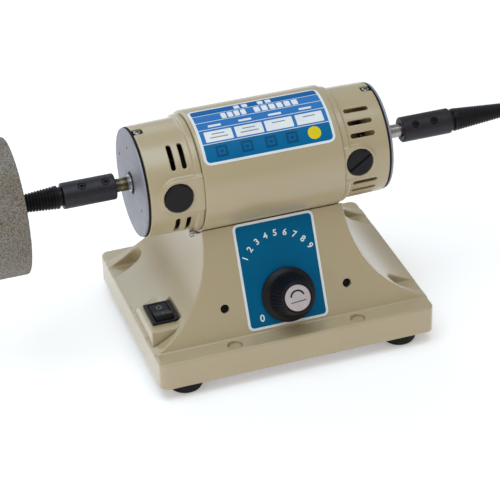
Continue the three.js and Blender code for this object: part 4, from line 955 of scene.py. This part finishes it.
def add_switch():
    cast("switch_bezel", bezel_field, (-11, -14, -18.6), (11, 14, 2.8), 0.4, SWITCH, PLASTIC, "machine",
         "black_plastic", "switch_housing")
    turn = SWITCH @ Matrix.Translation((0, 0, ROCKER_PIVOT)) @ Matrix.Rotation(ROCKER_TILT, 4, "X")
    cast("rocker_key", rocker_field, (-7.4, -11.4, -6), (7.4, 11.4, 5.4), 0.3, turn, PLASTIC, "rocker",
         "black_plastic", "switch_rocker")
    end = math.radians(23)
    rise = math.atan2(ROCKER_RADIUS * math.sin(end) - ROCKER_RIDGE, ROCKER_RADIUS * math.cos(end))
    back = turn @ Matrix.Translation((0, 0, ROCKER_RIDGE)) @ Matrix.Rotation(rise, 4, "X")
    front = turn @ Matrix.Translation((0, 0, ROCKER_RIDGE)) @ Matrix.Rotation(-rise, 4, "X")
    ring = [ring_outline(0, 5.2, 1.7, 2.3, 0, 359.9, 36)]
    flat_shape("rocker_ring_mark", ring, -0.05, 0.05, back, FAINT_INK, "rocker", "black_plastic")
    bar = [[(-0.3, -6.8), (0.3, -6.8), (0.3, -3.4), (-0.3, -3.4)]]
    flat_shape("rocker_bar_mark", bar, -0.05, 0.05, front, FAINT_INK, "rocker", "black_plastic")


# -------- turning pieces


def add_shaft():
    end = (SLEEVE_INNER + SLEEVE_OUTER) / 2 - 1
    left, right = -88.0, 79.3
    thick, neck = SHAFT_RADIUS, SHAFT_RADIUS - 0.3
    profile = [(-end, 0), (-end, thick), (-108.5, thick, 0.2), (-108.3, neck, 0.1), (-107.6, neck, 0.1),
               (-107.4, thick, 0.2), (-100.3, thick), (-100.2, 6.4, 0.2), (-99.0, 6.4, 0.2), (-98.9, thick),
               (left, thick), (left, 7, 0.3), (right, 7, 0.3), (right, thick),
               (90.3, thick), (90.4, 6.4, 0.2), (91.5, 6.4, 0.2), (91.6, thick), (end, thick), (end, 0)]
    lathe("shaft", profile, MOTOR @ ALONG_X, 72, SHAFT_STEEL, "rotor", "steel", "main_shaft")


def sleeve_field(x, y, z, low, high, places, degrees):
    radius = np.hypot(y, z)
    body = meet(meet(radius - SLEEVE_RADIUS, slab(x, low, high), 0.9), SHAFT_RADIUS + GAP - radius, 0.3)
    out, around = toward(y, z, degrees)
    for place in places:
        hole = np.maximum(np.hypot(x - place, around) - 2.8, -out)
        body = carve(body, hole, 0.3)
    return body


def add_sleeves():
    for side, low, high, places, degrees in (
            ("left", -SLEEVE_OUTER, -SLEEVE_INNER, (-118.7, -136.3), 60),
            ("right", SLEEVE_INNER, SLEEVE_OUTER, (121.4, 136.3), 44)):
        cast(f"{side}_collar", lambda x, y, z: sleeve_field(x, y, z, low, high, places, degrees),
             (low - 0.8, 0, 4.4), (high + 0.8, 363, 10.6), (0.5, 3.0, 0.45), MOTOR, DARK_STEEL, "rotor",
             "dark_steel", f"{side}_sleeve", bend=round_x)


def thread(along, angle, radius):
    """Screw thread on the taper, fading in at its root and out at its tip."""
    if along < SPINDLE_ROOT + 0.6 or radius < SPINDLE_TIP_RADIUS - 0.3:
        return radius
    fade = min(1.0, (along - SPINDLE_ROOT - 0.6) / 2.0)
    turnings = along / THREAD_PITCH - angle / (2 * math.pi)
    tooth = abs(2 * (turnings % 1.0) - 1.0)
    depth = THREAD_DEPTH * fade * min(1.0, radius / 4.0)
    return radius - depth * min(1.0, max(0.0, 1.35 * tooth - 0.2))


def add_spindles():
    start = SLEEVE_OUTER + GAP
    steps = int((SPINDLE_TIP - SPINDLE_ROOT - 2) / (THREAD_PITCH / 10))
    taper = [(SPINDLE_ROOT + 1 + (SPINDLE_TIP - SPINDLE_ROOT - 2) * k / steps,
              SPINDLE_ROOT_RADIUS + (SPINDLE_TIP_RADIUS - SPINDLE_ROOT_RADIUS) * k / steps)
             for k in range(1, steps)]
    inside = SLEEVE_OUTER - 17
    profile = [(inside, 0), (inside, SHAFT_RADIUS), (start, SHAFT_RADIUS), (start, 7, 0.3), (SPINDLE_ROOT, 7),
               (SPINDLE_ROOT, SPINDLE_ROOT_RADIUS - 0.3, 0.5), *taper,
               (SPINDLE_TIP - 1, SPINDLE_TIP_RADIUS, 0.5), (SPINDLE_TIP, 0)]
    for side, spin, hand in (("right", 0, 1), ("left", math.pi, -1)):
        matrix = MOTOR @ Matrix.Rotation(spin, 4, "Z") @ ALONG_X
        mesh = turned(f"{side}_screw_taper", profile, matrix, 48,
                      lambda along, angle, radius: thread(along, hand * angle, radius))
        piece(f"{side}_screw_taper", mesh, BLACK_STEEL, "rotor", "black_oxide", f"{side}_spindle")


def taper_radius(distance):
    share = (distance - SPINDLE_ROOT - 1) / (SPINDLE_TIP - SPINDLE_ROOT - 2)
    return SPINDLE_ROOT_RADIUS + (SPINDLE_TIP_RADIUS - SPINDLE_ROOT_RADIUS) * share


def add_wheel():
    """Wheel of springy abrasive web with a slightly uneven skin."""
    inner, outer = -WHEEL_INNER, -WHEEL_OUTER
    face = [(inner, taper_radius(inner) + GAP + 40 * k / 30) for k in range(31)]
    rim = [(inner + 1.2 + (outer - inner - 2.4) * k / 18, WHEEL_RADIUS) for k in range(19)]
    back = [(outer, taper_radius(outer) + GAP + 40 * k / 30) for k in range(30, -1, -1)]
    profile = [*face, (inner, WHEEL_RADIUS - 0.5, 1.4), *rim, (outer, WHEEL_RADIUS - 0.5, 1.4), *back]
    mesh = turned("web_wheel", profile, MOTOR @ Matrix.Rotation(math.pi, 4, "Z") @ ALONG_X, 240)
    for corner in mesh.vertices:
        away = Vector((0, corner.co.y, corner.co.z - AXIS_Z * MM))
        roughness = noise.noise(corner.co * 420) * 0.00022 + noise.noise(corner.co * 120) * 0.00018
        depth = abs(roughness)
        if away.length > 0.0485:
            corner.co -= away.normalized() * depth
        if away.length > 0.0085:
            corner.co.x -= depth if corner.co.x > -0.19725 else -depth
    piece("web_wheel", mesh, WEB, "rotor", "abrasive", "abrasive_wheel")


# -------- underside and inside


def add_feet():
    names = ("front_left_foot", "front_right_foot", "rear_left_foot", "rear_right_foot")
    profile = [(0.6, 0), (0.6, 3.0, 0.3), (0, 3.6, 0.3), (0, 11.4, 1.6), (2.4, 12.8, 1.2), (9.9, 12.8),
               (9.9, 0)]
    for name, (sign_x, sign_y) in zip(names, CORNERS):
        place = Matrix.Translation((sign_x * FOOT_X, sign_y * FOOT_Y, 0))
        lathe(f"{name}_pad", profile, place, 96, RUBBER, "machine", "black_rubber", name)


def add_bushing():
    matrix = Matrix.Translation((BUSHING_X, 0, BUSHING_Z)) @ Matrix.Rotation(-math.pi / 2, 4, "X")
    profile = [(74.5, 3.2), (84.9, 3.2, 0.3), (84.9, 6.8, 0.9), (82.8, 6.8, 0.2), (82.8, 5.0), (74.5, 5.0)]
    lathe("rear_bushing", profile, matrix, 64, RUBBER, "machine", "black_rubber", "cord_bushing")


NODE_LOOKS = {
    "bottom_cover": PLATE, "potentiometer": ALUMINIUM, "speed_control_shaft": STEEL, "control_board": BOARD,
    "heat_sink": ALUMINIUM, "upper_magnet": CARBON, "lower_magnet": CARBON, "front_brush_holder": BRASS,
    "rear_brush_holder": BRASS, "front_brush": CARBON, "rear_brush": CARBON, "front_brush_spring": STEEL,
    "rear_brush_spring": STEEL, "armature_core": CORE, "left_winding": VARNISH, "right_winding": VARNISH,
    "commutator": COPPER, "cooling_fan": PLASTIC, "left_inner_set_screw": BLACK_STEEL,
    "left_outer_set_screw": BLACK_STEEL, "right_inner_set_screw": BLACK_STEEL,
    "right_outer_set_screw": BLACK_STEEL,
}


def dress_nodes():
    """Better materials for the CAD nodes that stay."""
    for name, look in NODE_LOOKS.items():
        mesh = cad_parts[name].data
        mesh.materials.clear()
        mesh.materials.append(look)


# -------- stage


def add_camera():
    turn, height, roll = math.radians(-17.818), math.radians(32.594), math.radians(-1.929)
    target, distance = Vector((-0.01004, 0, 0.06075)), 1.5666
    back = Vector((math.sin(turn) * math.cos(height), -math.cos(turn) * math.cos(height), math.sin(height)))
    level = Vector((math.cos(turn), math.sin(turn), 0))
    upright = back.cross(level)
    right = level * math.cos(roll) + upright * math.sin(roll)
    up = upright * math.cos(roll) - level * math.sin(roll)
    lens = bpy.data.cameras.new("camera")
    lens.sensor_width = 36
    lens.lens = 149.15
    lens.clip_start, lens.clip_end = 0.05, 50
    camera = bpy.data.objects.new("camera", lens)
    axes = Matrix((right, up, back)).transposed().to_4x4()
    camera.matrix_world = Matrix.Translation(target + back * distance) @ axes
    bpy.context.scene.collection.objects.link(camera)
    bpy.context.scene.camera = camera


def add_lamp(name, place, target, size, power, colour=(1, 1, 1)):
    lamp = bpy.data.lights.new(name, "AREA")
    lamp.shape = "RECTANGLE"
    lamp.size, lamp.size_y = size
    lamp.energy = power
    lamp.color = colour
    holder = bpy.data.objects.new(name, lamp)
    holder.location = place
    holder.rotation_euler = (Vector(target) - Vector(place)).to_track_quat("-Z", "Y").to_euler()
    bpy.context.scene.collection.objects.link(holder)


def add_stage():
    scene = bpy.context.scene
    scene.view_settings.view_transform = "Standard"
    world = bpy.data.worlds.new("studio")
    world.use_nodes = True
    put(world.node_tree.nodes["Background"], Color=(1, 0.95, 0.88, 1), Strength=0.42)
    scene.world = world
    floor = bpy.data.meshes.new("floor")
    reach = 6
    floor.from_pydata([(-reach, -reach, 0), (reach, -reach, 0), (reach, reach, 0), (-reach, reach, 0)], [],
                      [(0, 1, 2, 3)])
    ground = bpy.data.objects.new("floor", floor)
    paper = finish_of("floor_paper", "FDFDFD", 0.8, second="FBFBFB", scale=3)
    shader = paper.node_tree.nodes["Principled BSDF"]
    put(shader, Emission_Color=(1, 0.98, 0.94, 1), Emission_Strength=0.27)
    floor.materials.append(paper)
    scene.collection.objects.link(ground)
    middle = (0, 0, 0.1)
    add_lamp("top_light", (-0.2, -0.35, 1.65), middle, (1.5, 1.2), 15, (0.72, 0.86, 1.0))
    add_lamp("back_light", (-0.7, 1.6, 1.2), middle, (2.4, 1.5), 14, (0.68, 0.84, 1.0))
    add_lamp("left_light", (-1.7, -0.75, 0.55), middle, (0.7, 0.9), 3.5, (1.0, 0.97, 0.9))


add_camera()
add_stage()
add_base()
add_bells()
add_notch_shade_strips()
add_insulating_ring()
add_shell()
add_end("left", PLATE_LEFT, 1)
add_end("right", PLATE_RIGHT, -1)
add_punch_marks()
add_screws()
add_caps()
add_label()
add_panel()
add_knob()
add_switch()
add_shaft()
add_sleeves()
add_spindles()
add_wheel()
add_feet()
add_bushing()
dress_nodes()
